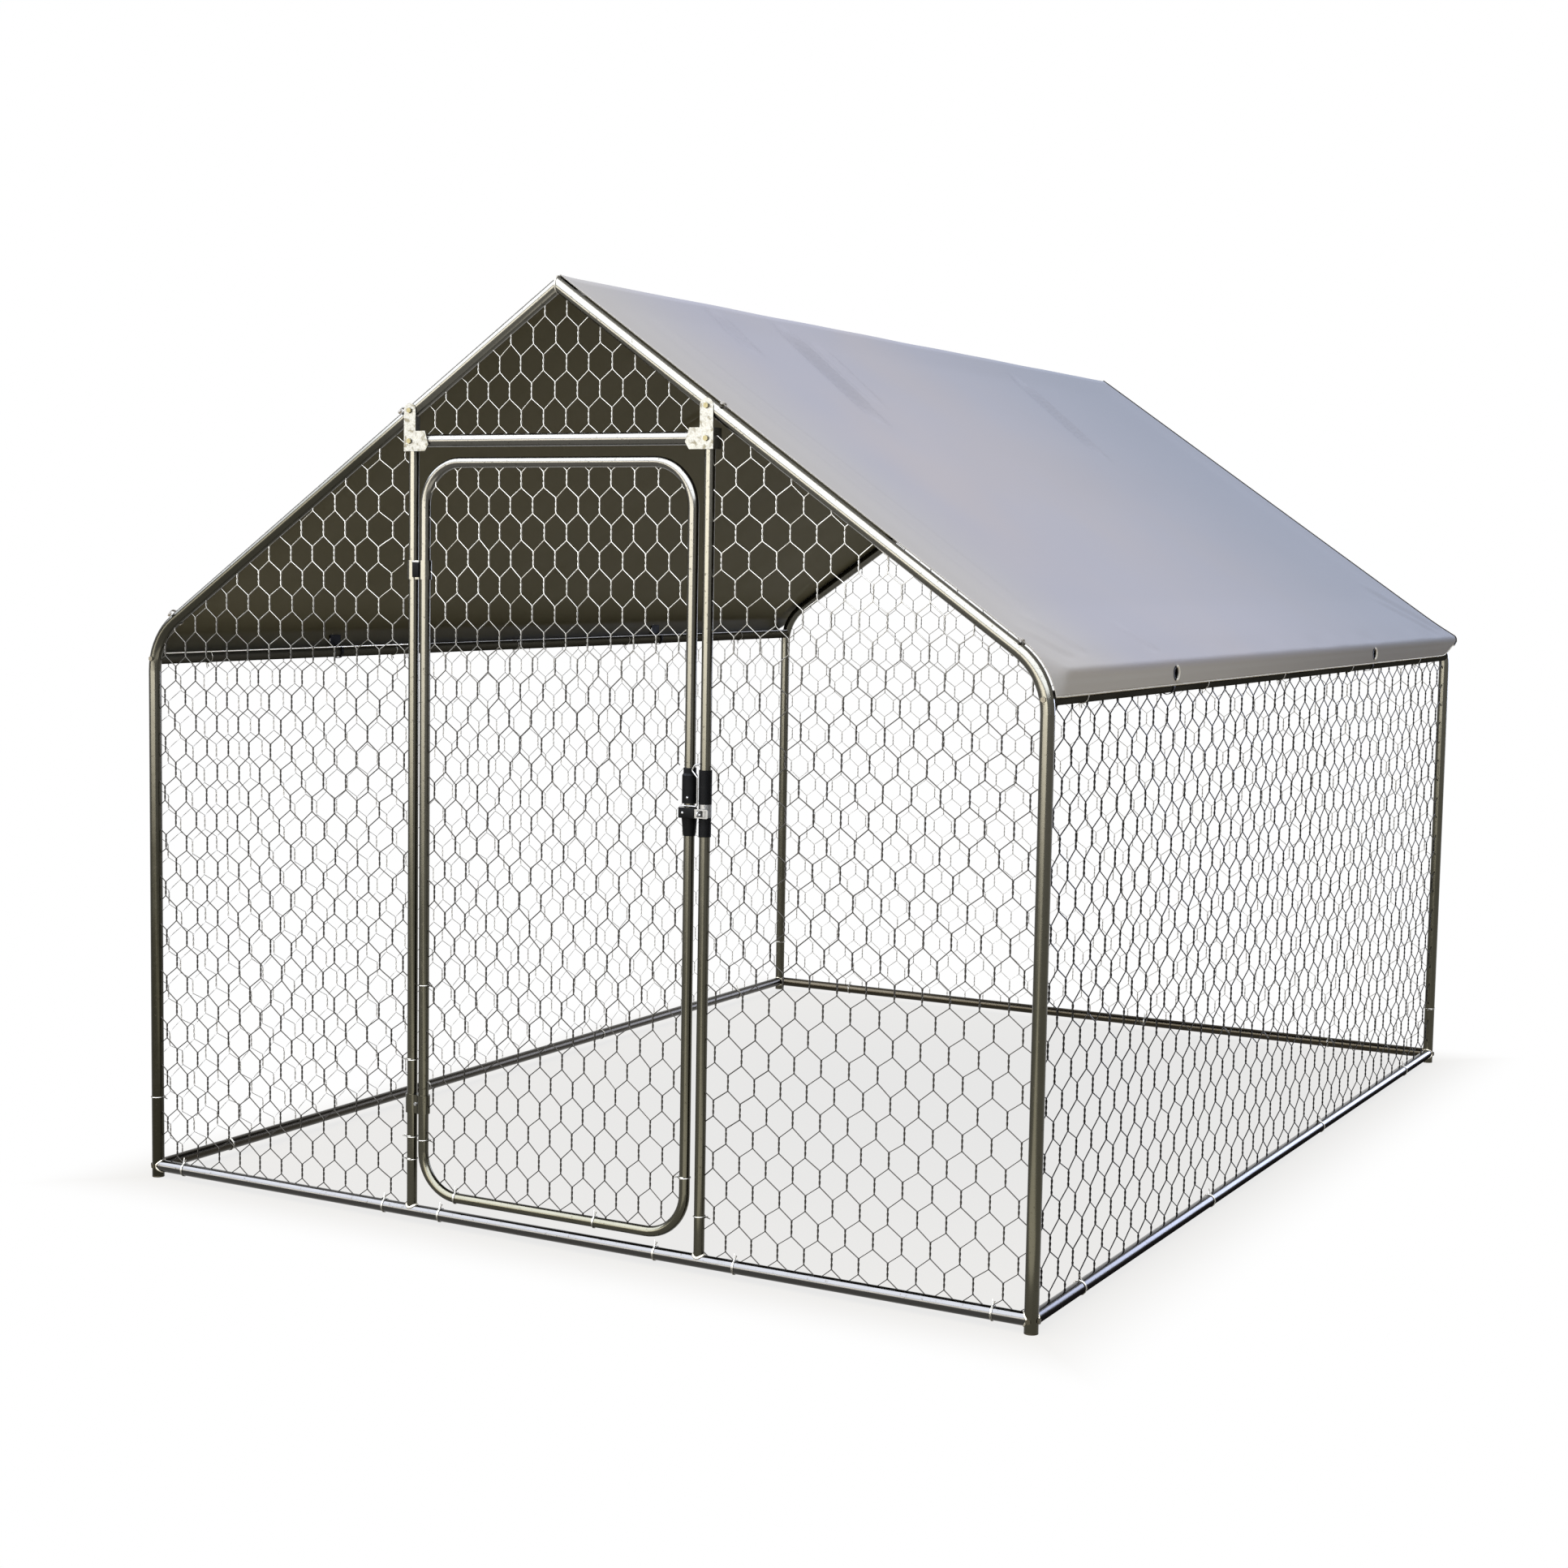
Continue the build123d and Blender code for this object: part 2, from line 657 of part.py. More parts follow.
with BuildPart() as roof_cover:
    with BuildSketch(Plane.XZ.offset(arch_y - cover_setback)):
        with BuildLine():
            inside = cover_line(cover_in)
            outside = cover_line(cover_out)
            Line(inside @ 0, outside @ 0)
            Line(inside @ 1, outside @ 1)
        make_face()
        mirror(about=Plane.YZ)
    extrude(amount=-(arch_y - cover_setback + cover_rear))
    for side, y in eyelets:
        with BuildSketch(eyelet_plane(side, y, 0)):
            Circle(eyelet_bore + eyelet_wall + eyelet_play)
        extrude(amount=2 * cover_out, mode=Mode.SUBTRACT)
save(roof_cover.part, "roof_cover")

# Eyelets in the skirt and the straps that tie it down to the eave rail
with BuildPart() as cover_eyelets:
    for side, y in eyelets:
        with BuildSketch(eyelet_plane(side, y, cover_in - eyelet_lip)):
            Circle(eyelet_bore + eyelet_wall)
            Circle(eyelet_bore, mode=Mode.SUBTRACT)
        extrude(amount=cover_thick + 2 * eyelet_lip)
        with BuildSketch(eyelet_plane(side, y, cover_out + flange_play)):
            Circle(eyelet_flange)
            Circle(eyelet_bore, mode=Mode.SUBTRACT)
        extrude(amount=flange_thick)
save(cover_eyelets.part, "cover_eyelets")

with BuildPart() as cover_ties:
    for side, y in eyelets:
        with BuildSketch(Plane(origin=(side * eave_x, y - tie_wide / 2, eave_height), x_dir=(1, 0, 0), z_dir=(0, 1, 0))):
            Circle(tie_loop + tie_thick / 2)
            Circle(tie_loop - tie_thick / 2, mode=Mode.SUBTRACT)
        extrude(amount=tie_wide)
save(cover_ties.part, "cover_ties")
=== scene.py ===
"""Walk-in poultry run: wire netting, tarpaulin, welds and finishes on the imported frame.

+X runs to the right along the front, +Y to the rear and +Z up. All sizes are metres.
"""

import random
from math import asin, atan, cos, exp, pi, sin, sqrt, tan

import bmesh
import bpy
from mathutils import Matrix, Vector, noise


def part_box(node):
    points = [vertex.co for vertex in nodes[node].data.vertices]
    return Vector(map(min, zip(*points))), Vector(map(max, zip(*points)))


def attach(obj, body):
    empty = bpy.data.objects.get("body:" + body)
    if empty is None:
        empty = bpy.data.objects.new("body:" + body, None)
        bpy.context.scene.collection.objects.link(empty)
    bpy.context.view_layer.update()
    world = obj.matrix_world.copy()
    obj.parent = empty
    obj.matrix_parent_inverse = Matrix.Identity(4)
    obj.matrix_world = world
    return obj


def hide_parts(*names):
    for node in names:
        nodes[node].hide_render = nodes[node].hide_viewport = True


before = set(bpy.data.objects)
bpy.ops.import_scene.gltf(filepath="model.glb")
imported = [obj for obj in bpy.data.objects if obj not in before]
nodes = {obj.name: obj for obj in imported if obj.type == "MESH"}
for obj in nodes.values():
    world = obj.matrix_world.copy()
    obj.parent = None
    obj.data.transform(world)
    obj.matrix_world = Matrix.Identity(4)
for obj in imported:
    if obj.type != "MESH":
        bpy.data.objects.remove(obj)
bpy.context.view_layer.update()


def middle(node):
    """Middle of a frame part's box."""
    low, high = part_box(node)
    return (low + high) / 2


# Directions
right = Vector((1.0, 0.0, 0.0))
back = Vector((0.0, 1.0, 0.0))
up = Vector((0.0, 0.0, 1.0))

# Places on the frame, as centre lines and radii of its tubes
front_y = middle("front_base_rail").y
rear_y = middle("rear_base_rail").y
post_x = middle("right_base_rail").x
base_z = middle("front_base_rail").z
eave_z = middle("right_eave_rail").z
eave_x = middle("right_eave_rail").x
peak_z = middle("ridge_tube").z
lintel_z = middle("lintel").z
rail_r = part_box("front_base_rail")[1].z - base_z
post_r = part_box("foot_caps")[1].x - post_x
door_post_x = middle("right_door_post").x
door_low, door_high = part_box("door_frame")
door_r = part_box("right_door_post")[1].x - door_post_x
door_left = door_low.x + door_r
door_right = door_high.x - door_r
door_bottom = door_low.z + door_r
door_top = door_high.z - door_r
cover_low, cover_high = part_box("roof_cover")
hinge_places = [middle("lower_hinge_rear_shell").z, middle("upper_hinge_rear_shell").z]
grip_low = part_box("latch_grip")[0].z
block_low, block_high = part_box("latch_block")

# Bend at the eaves
knee_z = 1.237
knee_radius = 0.14
roof_slope = (peak_z - knee_z) / post_x
pitch = atan(roof_slope)
bend_turn = pi / 2 - pitch
bend_x = post_x - knee_radius
bend_z = knee_z - knee_radius * tan(bend_turn / 2)

# Netting: width of a mesh, height of a twist and of the slants, and first row above a tube
front_mesh = 0.0605
gable_mesh = 0.0545
side_mesh = 0.0800
rear_mesh = 0.0620
twist_tall = 0.0335
slant_tall = 0.0210
twist_steps = 6
front_row = 0.0275
door_row = 0.0345

# Wire radii, and how far a knot strays from its place
wire_r = 0.0012
left_wire_r = 0.0008
right_wire_r = 0.00135
rear_wire_r = 0.0009
gable_wire_r = 0.0009
selvedge_r = 0.0022
selvedge_lift = 0.012
knot_drift = 0.0035
knot_jitter = 0.0009

# Room left in the nets for the hinges, the open door and the turning grip
hinge_reach = 0.031
hinge_half = 0.0225
hinge_draw = 0.007
draw_start = 0.09
draw_wide = 0.04
grip_notch = 0.0280
grip_gap = 0.004

# Wire ties, as places along the rails or heights on the posts
side_base_ties = (-1.24, -0.47, 0.38, 1.19)
side_eave_ties = (-1.31, -0.62, -0.08, 0.49, 1.16)
rear_post_tie = 0.16
rear_base_ties = (-0.82, -0.15, 0.21, 0.79)
left_base_ties = (-1.005, -0.432, -0.283)
left_post_ties = (0.140, 0.189, 0.357)
right_base_ties = (0.258, 0.445, 1.008)
right_post_ties = (0.118,)
corner_post_tie = 0.186
door_bottom_ties = (-0.243, 0.11)
door_right_ties = (0.193,)
door_left_ties = (0.184, 0.52)
tie_start = 0.010
tie_tail = 0.014
tie_pitch = 0.0002
tie_back = 0.0016


class Shade:
    """An output of a material's nodes, with arithmetic."""

    def __init__(self, tree, socket=None):
        self.tree = tree
        self.socket = socket

    def node(self, kind, settings, sockets, output=0):
        """Add a node of any kind to the same material and give one of its outputs."""
        made = self.tree.nodes.new(kind)
        for name, value in settings.items():
            setattr(made, name, value)
        for key, value in sockets.items():
            if isinstance(value, Shade):
                value.feed(made, key)
            else:
                made.inputs[key].default_value = value
        return Shade(self.tree, made.outputs[output])

    def sum(self, operation, first, second):
        return self.node("ShaderNodeMath", {"operation": operation}, {0: first, 1: second})

    def __add__(self, other):
        return self.sum("ADD", self, other)

    def __radd__(self, other):
        return self.sum("ADD", other, self)

    def __sub__(self, other):
        return self.sum("SUBTRACT", self, other)

    def __rsub__(self, other):
        return self.sum("SUBTRACT", other, self)

    def __mul__(self, other):
        return self.sum("MULTIPLY", self, other)

    def __rmul__(self, other):
        return self.sum("MULTIPLY", other, self)

    def axis(self, name):
        """One coordinate of a place."""
        return self.node("ShaderNodeSeparateXYZ", {}, {"Vector": self}, name)

    def noise(self, scale, detail=3.0):
        """Cloudy pattern from 0 to 1."""
        return self.node("ShaderNodeTexNoise", {}, {"Vector": self, "Scale": scale, "Detail": detail})

    def between(self, low, high):
        """This value spread over 0 to 1, and held there outside."""
        settings = {"clamp": True, "interpolation_type": "SMOOTHSTEP"}
        sockets = {"Value": self, "From Min": low, "From Max": high}
        return self.node("ShaderNodeMapRange", settings, sockets)

    def blend(self, first, second):
        """Colour that goes from the first to the second as this value goes from 0 to 1."""
        return self.node("ShaderNodeMix", {"data_type": "RGBA"}, {0: self, 6: first, 7: second}, 2)

    def bump(self, strength, distance):
        """Surface direction that this value's relief gives."""
        sockets = {"Height": self, "Strength": strength, "Distance": distance}
        return self.node("ShaderNodeBump", {}, sockets)

    def feed(self, shader, name):
        self.tree.links.new(self.socket, shader.inputs[name])


def colour(red, green, blue):
    """A colour given as it looks on screen, from 0 to 255."""
    linear = [((part / 255 + 0.055) / 1.055) ** 2.4 for part in (red, green, blue)]
    return (*linear, 1.0)


white = (1.0, 1.0, 1.0, 1.0)


def new_finish(name):
    """A new material with its shader and its own coordinates."""
    material = bpy.data.materials.new(name)
    material.use_nodes = True
    tree = material.node_tree
    place = Shade(tree).node("ShaderNodeTexCoord", {}, {}, "Object")
    return material, tree.nodes["Principled BSDF"], place


def metal(name, low_tone, high_tone, rough, grain=110.0, shade_heights=None, rim=None, shade_z=None):
    """Zinc-coated steel: cloudy tone, crystal flakes and small dark specks, with painted light:
    the tone goes from low_tone near the ground to high_tone higher up.

    rough holds the least and most roughness. Two given heights may hold the tone low between them as
    painted shade, rim tints the mirror image at the tube's edges, and below a given height the tube
    is painted dark and matt as shade.
    """
    material, shader, place = new_finish(name)
    height = place.axis("Z")
    cloud = place.noise(7.0)
    flakes = place.node("ShaderNodeTexVoronoi", {}, {"Vector": place, "Scale": grain}, "Color")
    flake = flakes.node("ShaderNodeSeparateColor", {}, {"Color": flakes})
    specks = place.noise(160.0, 2.0).between(0.62, 0.72)
    # Painted light: the tone rises with height, from low_tone to high_tone.
    tone = height.between(0.4, 1.7) + cloud * 0.16 + flake * 0.08 - 0.12
    # Painted shade: the tone is held low between the two given heights.
    if shade_heights:
        shade_band = height.between(shade_heights[0] - 0.15, shade_heights[0]) * (1 - height.between(shade_heights[1], shade_heights[1] + 0.15))
        tone = tone * (1 - shade_band * 0.8)
    clean = tone.blend(low_tone, high_tone)
    marked_tone = (specks * 0.5).blend(clean, colour(40, 36, 28))
    shader.inputs["Metallic"].default_value = 1.0
    # Painted shade: below the given height the tube is dark and matt, as the shade under it.
    if shade_z:
        shaded_under = (height + cloud * 0.004).between(shade_z - 0.002, shade_z + 0.005)
        marked_tone = shaded_under.blend(colour(38, 37, 40), marked_tone)
        shaded_under.feed(shader, "Metallic")
        shader.inputs["Specular IOR Level"].default_value = 0.0
    marked_tone.feed(shader, "Base Color")
    (cloud * (rough[1] - rough[0]) + rough[0] + specks * 0.15).feed(shader, "Roughness")
    if rim:
        shader.inputs["Specular Tint"].default_value = rim
    return material


tube_rough = (0.14, 0.24)
rail_shade_z = base_z + 0.0055
tube_steel = metal("tube_steel", colour(66, 64, 54), colour(82, 80, 73), tube_rough)
# The darker steel for the front left arch is painted shade, darkest on the rafter.
shaded_steel = metal("shaded_steel", colour(46, 44, 35), colour(82, 80, 73), tube_rough, shade_heights=(1.27, 1.62))
door_steel = metal("door_steel", colour(66, 64, 54), colour(80, 78, 72), tube_rough)
rail_steel = metal("rail_steel", colour(64, 63, 61), colour(64, 63, 61), (0.08, 0.15))
# The darker steel here for the left and rear base rails is painted shade.
inner_shade_steel = metal("inner_shade_steel", colour(46, 42, 34), colour(46, 42, 34), (0.20, 0.30))
# The right base rail is painted dark and matt along its underside as shade.
side_tone = colour(46, 45, 46)
side_rail_steel = metal("side_rail_steel", side_tone, side_tone, (0.12, 0.20), shade_z=rail_shade_z)
# The eave rails are drawn dark, with a dark tint on their mirror image at the edges: painted shade under
# the skirt.
eave_shade_rim = colour(60, 56, 48)
eave_steel = metal("eave_steel", colour(56, 54, 48), colour(60, 58, 52), (0.45, 0.60), rim=eave_shade_rim)
latch_zinc = metal("latch_zinc", colour(98, 97, 94), colour(108, 107, 104), (0.30, 0.45), 140.0)
bolt_brass = metal("bolt_brass", colour(74, 69, 50), colour(88, 82, 60), (0.28, 0.45), 200.0)
cap_zinc = metal("cap_zinc", colour(60, 56, 46), colour(84, 80, 70), (0.30, 0.50), 140.0)
weld_zinc = metal("weld_zinc", colour(150, 144, 128), colour(120, 116, 106), (0.35, 0.60), 300.0)
tie_zinc = metal("tie_zinc", colour(128, 125, 116), colour(110, 107, 100), (0.25, 0.40), 300.0)


def net_finish(name, low_tone):
    """Twisted wire, with painted light: low_tone near the ground and bright under the eaves and above."""
    material, shader, place = new_finish(name)
    cloud = place.noise(9.0)
    specks = place.noise(300.0, 2.0).between(0.55, 0.75)
    # Painted light: the wire turns bright from the eaves upward.
    tone = (place.axis("Z") + cloud * 0.2).between(1.24, 1.54)
    clean = tone.blend(low_tone, colour(126, 123, 115))
    (specks * 0.35).blend(clean, colour(40, 37, 30)).feed(shader, "Base Color")
    (cloud * 0.15 + 0.30).feed(shader, "Roughness")
    shader.inputs["Metallic"].default_value = 1.0
    return material


def selvedge_finish(name):
    """Edge wire of the side nets, with a painted highlight: bright at the front and fading to grey to the
    rear.
    """
    material, shader, place = new_finish(name)
    highlight_fade = place.axis("Y").between(-0.60, -0.45)
    highlight_fade.blend(colour(240, 235, 222), colour(92, 89, 82)).feed(shader, "Base Color")
    shader.inputs["Roughness"].default_value = 0.32
    shader.inputs["Metallic"].default_value = 1.0
    return material


edge_highlight_zinc = selvedge_finish("edge_highlight_zinc")
# The net finishes are one wire in different tones: painted shade for the darker right net, painted light
# for the pale left and rear nets.
net_zinc = net_finish("net_zinc", colour(43, 41, 37))
dark_net_zinc = net_finish("dark_net_zinc", colour(24, 23, 21))
pale_net_zinc = net_finish("pale_net_zinc", colour(122, 119, 112))


def bracket_finish(name):
    """Folded sheet: bright zinc with brown blotches left by the dip."""
    material, shader, place = new_finish(name)
    blotch = place.noise(85.0, 4.0)
    fleck = place.noise(420.0, 2.0)
    clean = fleck.between(0.35, 0.7).blend(colour(104, 103, 98), colour(90, 88, 80))
    (blotch.between(0.52, 0.68) * 0.8).blend(clean, colour(66, 61, 46)).feed(shader, "Base Color")
    (blotch * 0.3 + 0.22).feed(shader, "Roughness")
    blotch.bump(0.25, 0.0012).feed(shader, "Normal")
    shader.inputs["Metallic"].default_value = 1.0
    return material


bracket_zinc = bracket_finish("bracket_zinc")


def moulded(name, tone, marked_tone):
    """Plastic with a satin grain and faint dust."""
    material, shader, place = new_finish(name)
    dust = place.noise(45.0, 4.0).between(0.45, 0.8)
    grain = place.noise(1400.0, 1.0)
    (dust * 0.6).blend(tone, marked_tone).feed(shader, "Base Color")
    (dust * 0.15 + 0.45).feed(shader, "Roughness")
    shader.inputs["Specular IOR Level"].default_value = 0.03
    grain.bump(0.06, 0.0004).feed(shader, "Normal")
    return material


latch_black = moulded("latch_black", colour(13, 13, 13), colour(28, 28, 27))
strap_black = moulded("strap_black", colour(14, 14, 14), colour(26, 25, 24))


def coated_cloth(name, gloss):
    """A new material of coated cloth, dull, with a fine weave that follows the sheet."""
    material, shader, place = new_finish(name)
    cloth = place.node("ShaderNodeUVMap", {"uv_map": "cloth"}, {})
    warp = cloth.node("ShaderNodeTexWave", {"bands_direction": "X"}, {"Vector": cloth, "Scale": 150.0})
    weft = cloth.node("ShaderNodeTexWave", {"bands_direction": "Y"}, {"Vector": cloth, "Scale": 150.0})
    (warp * 0.5 + weft * 0.5).bump(0.05, 0.0003).feed(shader, "Normal")
    (place.noise(9.0, 4.0) * 0.12 + 0.50).feed(shader, "Roughness")
    shader.inputs["Specular IOR Level"].default_value = gloss
    return material, shader, place


def cover_outside(name):
    """Grey side of the tarpaulin, with painted light: paler at the front, darker and bluer to the rear,
    and painted shade where it hangs.
    """
    material, shader, place = coated_cloth(name, 0.0)
    along = place.axis("Y")
    patch = place.noise(1.3, 2.0)
    middle_tone = patch.between(0.35, 0.65).blend(colour(193, 194, 208), colour(200, 197, 205))
    # Painted light: paler at the front, darker and bluer to the rear.
    front_tone = along.between(-1.48, -0.95).blend(colour(206, 204, 205), middle_tone)
    slope_tone = (along + patch * 0.6).between(-0.5, 1.7).blend(front_tone, colour(174, 180, 197))
    # Painted shade: the hanging skirt is greyer and a little darker, more so to the rear.
    skirt_tone = along.between(-1.4, 1.0).blend(colour(202, 201, 201), colour(163, 163, 167))
    clean = place.axis("Z").between(1.226, 1.244).blend(skirt_tone, slope_tone)
    # Painted shade along the creases, from the crease attribute.
    crease = place.node("ShaderNodeAttribute", {"attribute_name": "crease"}, {}, "Fac")
    (crease.between(0.0, 1.2) * 0.32).blend(clean, colour(112, 112, 118)).feed(shader, "Base Color")
    return material


def cover_inside(name):
    """Brown lining of the tarpaulin."""
    material, shader, place = coated_cloth(name, 0.03)
    patch = place.noise(1.3, 2.0).between(0.35, 0.65)
    patch.blend(colour(101, 99, 82), colour(108, 106, 90)).feed(shader, "Base Color")
    return material


cover_grey = cover_outside("cover_grey")
cover_lining = cover_inside("cover_lining")
cover_piping = moulded("cover_piping", colour(212, 209, 205), colour(202, 199, 194))
hem_thread = moulded("hem_thread", colour(216, 213, 202), colour(204, 200, 188))
lip_white = moulded("lip_white", colour(252, 250, 244), colour(240, 237, 228))
hem_shade = moulded("hem_shade", colour(58, 55, 48), colour(70, 66, 58))


def dress(material, *names):
    """Give frame parts their finish."""
    for name in names:
        nodes[name].data.materials.clear()
        nodes[name].data.materials.append(material)


dress(tube_steel, "front_right_arch", "rear_left_arch", "rear_right_arch")
dress(shaded_steel, "front_left_arch")
dress(tube_steel, "front_ridge_joiner", "rear_ridge_joiner", "ridge_tube")
dress(eave_steel, "left_eave_rail", "right_eave_rail")
dress(rail_steel, "front_base_rail")
dress(inner_shade_steel, "left_base_rail", "rear_base_rail")
dress(side_rail_steel, "right_base_rail")
dress(tube_steel, "left_door_post", "right_door_post")
dress(door_steel, "door_frame", "lintel")
dress(bracket_zinc, "left_lintel_bracket", "right_lintel_bracket")
dress(latch_zinc, "latch_tongue", "tongue_rivet", "latch_hook", "keeper_staple", "hinge_rivets")
dress(bolt_brass, "bracket_bolts")
dress(cap_zinc, "foot_caps", "corner_bolts")
dress(latch_black, "latch_grip", "latch_block", "upper_keeper_sleeve", "lower_keeper_sleeve")
dress(latch_black, "cover_eyelets")
dress(tube_steel, "lower_hinge_front_shell", "lower_hinge_rear_shell")
dress(tube_steel, "upper_hinge_front_shell", "upper_hinge_rear_shell")
dress(strap_black, "cover_ties")


def new_object(name, data):
    """Put a new object into the scene."""
    made = bpy.data.objects.new(name, data)
    bpy.context.scene.collection.objects.link(made)
    return made


def wire_piece(name, wires, radius, material, rounds=0, closed=False):
    """One mesh of round wires that follow lists of points."""
    line = bpy.data.curves.new(name, "CURVE")
    line.dimensions = "3D"
    line.bevel_depth = radius
    line.bevel_resolution = rounds
    line.use_fill_caps = True
    for points in wires:
        run = line.splines.new("POLY")
        run.points.add(len(points) - 1)
        run.use_cyclic_u = closed
        for spot, point in zip(run.points, points):
            spot.co = (*point, 1.0)
    rough = new_object(name, line)
    view = bpy.context.evaluated_depsgraph_get()
    mesh = bpy.data.meshes.new_from_object(rough.evaluated_get(view))
    bpy.data.objects.remove(rough)
    bpy.data.curves.remove(line)
    mesh.name = name
    mesh.polygons.foreach_set("use_smooth", [True] * len(mesh.polygons))
    mesh.materials.clear()
    mesh.materials.append(material)
    return new_object(name, mesh)


def shape_piece(name, shape, *materials):
    """One object of a bmesh, with its finishes."""
    mesh = bpy.data.meshes.new(name)
    shape.to_mesh(mesh)
    shape.free()
    for material in materials:
        mesh.materials.append(material)
    return new_object(name, mesh)


def add_piece(name, shape, material, body):
    """Make an object of a bmesh that rides with a body."""
    piece = shape_piece(name, shape, material)
    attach(piece, body)


def round_edges(shape, round_r, segments):
    """Round all edges of a shape."""
    bmesh.ops.bevel(
        shape,
        geom=shape.edges[:],
        offset=round_r,
        segments=segments,
        profile=0.5,
        affect="EDGES",
        material=-1,
    )


def smooth_faces(shape):
    for face in shape.faces:
        face.smooth = True


def rounded_block(low, high, round_r):
    """A box with rounded edges between two corners."""
    shape = bmesh.new()
    low, high = Vector(low), Vector(high)
    size = Matrix.Diagonal((*(high - low), 1.0))
    bmesh.ops.create_cube(shape, size=1.0, matrix=Matrix.Translation((low + high) / 2) @ size)
    round_edges(shape, round_r, 3)
    smooth_faces(shape)
    return shape


def rivet_head(point, reach):
    """A low domed rivet that faces the front."""
    shape = bmesh.new()
    dome = Matrix.Translation(point) @ Matrix.Diagonal((reach, reach * 0.5, reach, 1.0))
    bmesh.ops.create_uvsphere(shape, u_segments=16, v_segments=8, radius=1.0, matrix=dome)
    smooth_faces(shape)
    return shape


def inner_stretch(here, there, edges):
    """Start and end, from 0 to 1, of the stretch between two points inside every edge."""
    enter, leave = 0.0, 1.0
    for across, rise, limit in edges:
        out_here = across * here[0] + rise * here[1] - limit
        out_there = across * there[0] + rise * there[1] - limit
        if out_here > 0 and out_there > 0:
            leave = -1.0
        elif out_here > 0:
            enter = max(enter, out_here / (out_here - out_there))
        elif out_there > 0:
            leave = min(leave, out_here / (out_here - out_there))
    return enter, leave


def trimmed(path, edges):
    """The runs of a path inside every edge."""
    runs = []
    run = []
    for here, there in zip(path, path[1:]):
        enter, leave = inner_stretch(here, there, edges)
        if leave <= enter:
            runs.append(run)
            run = []
            continue
        if not run or enter > 0:
            runs.append(run)
            run = [here.lerp(there, enter)]
        run.append(here.lerp(there, leave))
        if leave < 1:
            runs.append(run)
            run = []
    runs.append(run)
    return [run for run in runs if len(run) > 1]


def notched(path, notch):
    """The runs of a path outside a notch."""
    left_x, low_z, right_x, high_z = notch
    edges = [(-1.0, 0.0, -left_x), (1.0, 0.0, right_x), (0.0, -1.0, -low_z), (0.0, 1.0, high_z)]
    runs = []
    run = []
    for here, there in zip(path, path[1:]):
        enter, leave = inner_stretch(here, there, edges)
        if leave <= enter:
            run = run or [here]
            run.append(there)
            continue
        if enter > 0:
            run = run or [here]
            run.append(here.lerp(there, enter))
        runs.append(run)
        run = [here.lerp(there, leave), there] if leave < 1 else []
    runs.append(run)
    return [run for run in runs if len(run) > 1]


def knot_wander(column, row, seed):
    """Slow wander of the knots over a panel, the same on every run."""
    spot = Vector((column * 0.17, row * 0.31, seed * 7.7))
    shifts = (Vector((0.0, 0.0, 0.0)), Vector((31.4, 0.0, 0.0)), Vector((0.0, 47.7, 0.0)))
    return Vector([noise.noise(spot + shift) for shift in shifts])


def net_wires(low, high, mesh_wide, edges, notches, seed):
    """Wires of hexagon netting: two families that lean left and right and twist where they meet."""
    row_tall = twist_tall + slant_tall
    half = mesh_wide / 2
    columns = int((high[0] - low[0]) / half) + 3
    rows = int((high[1] - low[1]) / row_tall) + 3
    rows += rows % 2
    dice = random.Random(seed)
    knots = {}
    for row in range(rows):
        for column in range(-2 * rows, columns + 2 * rows):
            drift = knot_wander(column, row, seed) * knot_drift
            stray = Vector((dice.uniform(-1, 1), dice.uniform(-1, 1), dice.uniform(-1, 1)))
            plain = Vector((low[0] + (column - 1) * half, low[1] + (row - 1) * row_tall, 0.0))
            knots[column, row] = plain + drift + stray * knot_jitter
    wires = []
    for lean in (1, -1):
        first_half = 1 if lean > 0 else 0
        for start in range(-rows, columns + rows, 2):
            path = []
            for row in range(rows):
                knot = knots[start + lean * row, row]
                if path:
                    last = path[-1]
                    foot = knot + Vector((-lean * wire_r, 0.0, 0.0))
                    path += [last.lerp(foot, 0.33), last.lerp(foot, 0.67)]
                for step in range(twist_steps + 1):
                    turn = pi * (step / 2 + first_half)
                    rise = twist_tall * step / twist_steps
                    path.append(knot + Vector((cos(turn) * wire_r, rise, sin(turn) * wire_r)))
            runs = trimmed(path, edges)
            for notch in notches:
                runs = [piece for run in runs for piece in notched(run, notch)]
            wires += runs
    return wires


def tie_loop(point, along, inward, radius):
    """A wire wrapped round a tube and twisted off on the net's side."""
    side = along.cross(inward)
    path = [point + inward * (radius + tie_start) + along * 0.003]
    for step in range(17):
        turn = 2 * pi * step / 12
        out = inward * cos(turn) + side * sin(turn)
        path.append(point + out * (radius + wire_r) + along * (tie_pitch * step - tie_back))
    path.append(point + inward * (radius + tie_tail) - along * 0.002)
    return path


def eased(value):
    """0 to 1 with a soft start and end."""
    value = min(1.0, max(0.0, value))
    return value * value * (3 - 2 * value)


def front_place(point):
    return Vector((point.x, front_y - point.z, point.y))


def hinge_side_place(point):
    """The front net, drawn to the rear of the door post where the open door comes to lie."""
    drawn = hinge_draw * eased((point.x + door_post_x + draw_start) / draw_wide)
    return front_place(point) + Vector((0.0, drawn, 0.0))


def rear_place(point):
    return Vector((point.x, rear_y + point.z, point.y))


def right_place(point):
    return Vector((post_x + point.z, point.x, point.y))


def left_place(point):
    return Vector((-post_x - point.z, point.x, point.y))


def roof_edges(side):
    """Edges of a gable panel along one rafter, the bend below it and the post."""
    half_turn = bend_turn / 2
    bend_limit = bend_x * cos(half_turn) + bend_z * sin(half_turn) + knee_radius
    return [
        (side, 0.0, post_x),
        (side * cos(half_turn), sin(half_turn), bend_limit),
        (side * sin(pitch), cos(pitch), peak_z * cos(pitch)),
    ]


def rafter_z(x):
    """Height of the rafter's centre line."""
    return peak_z - abs(x) * roof_slope


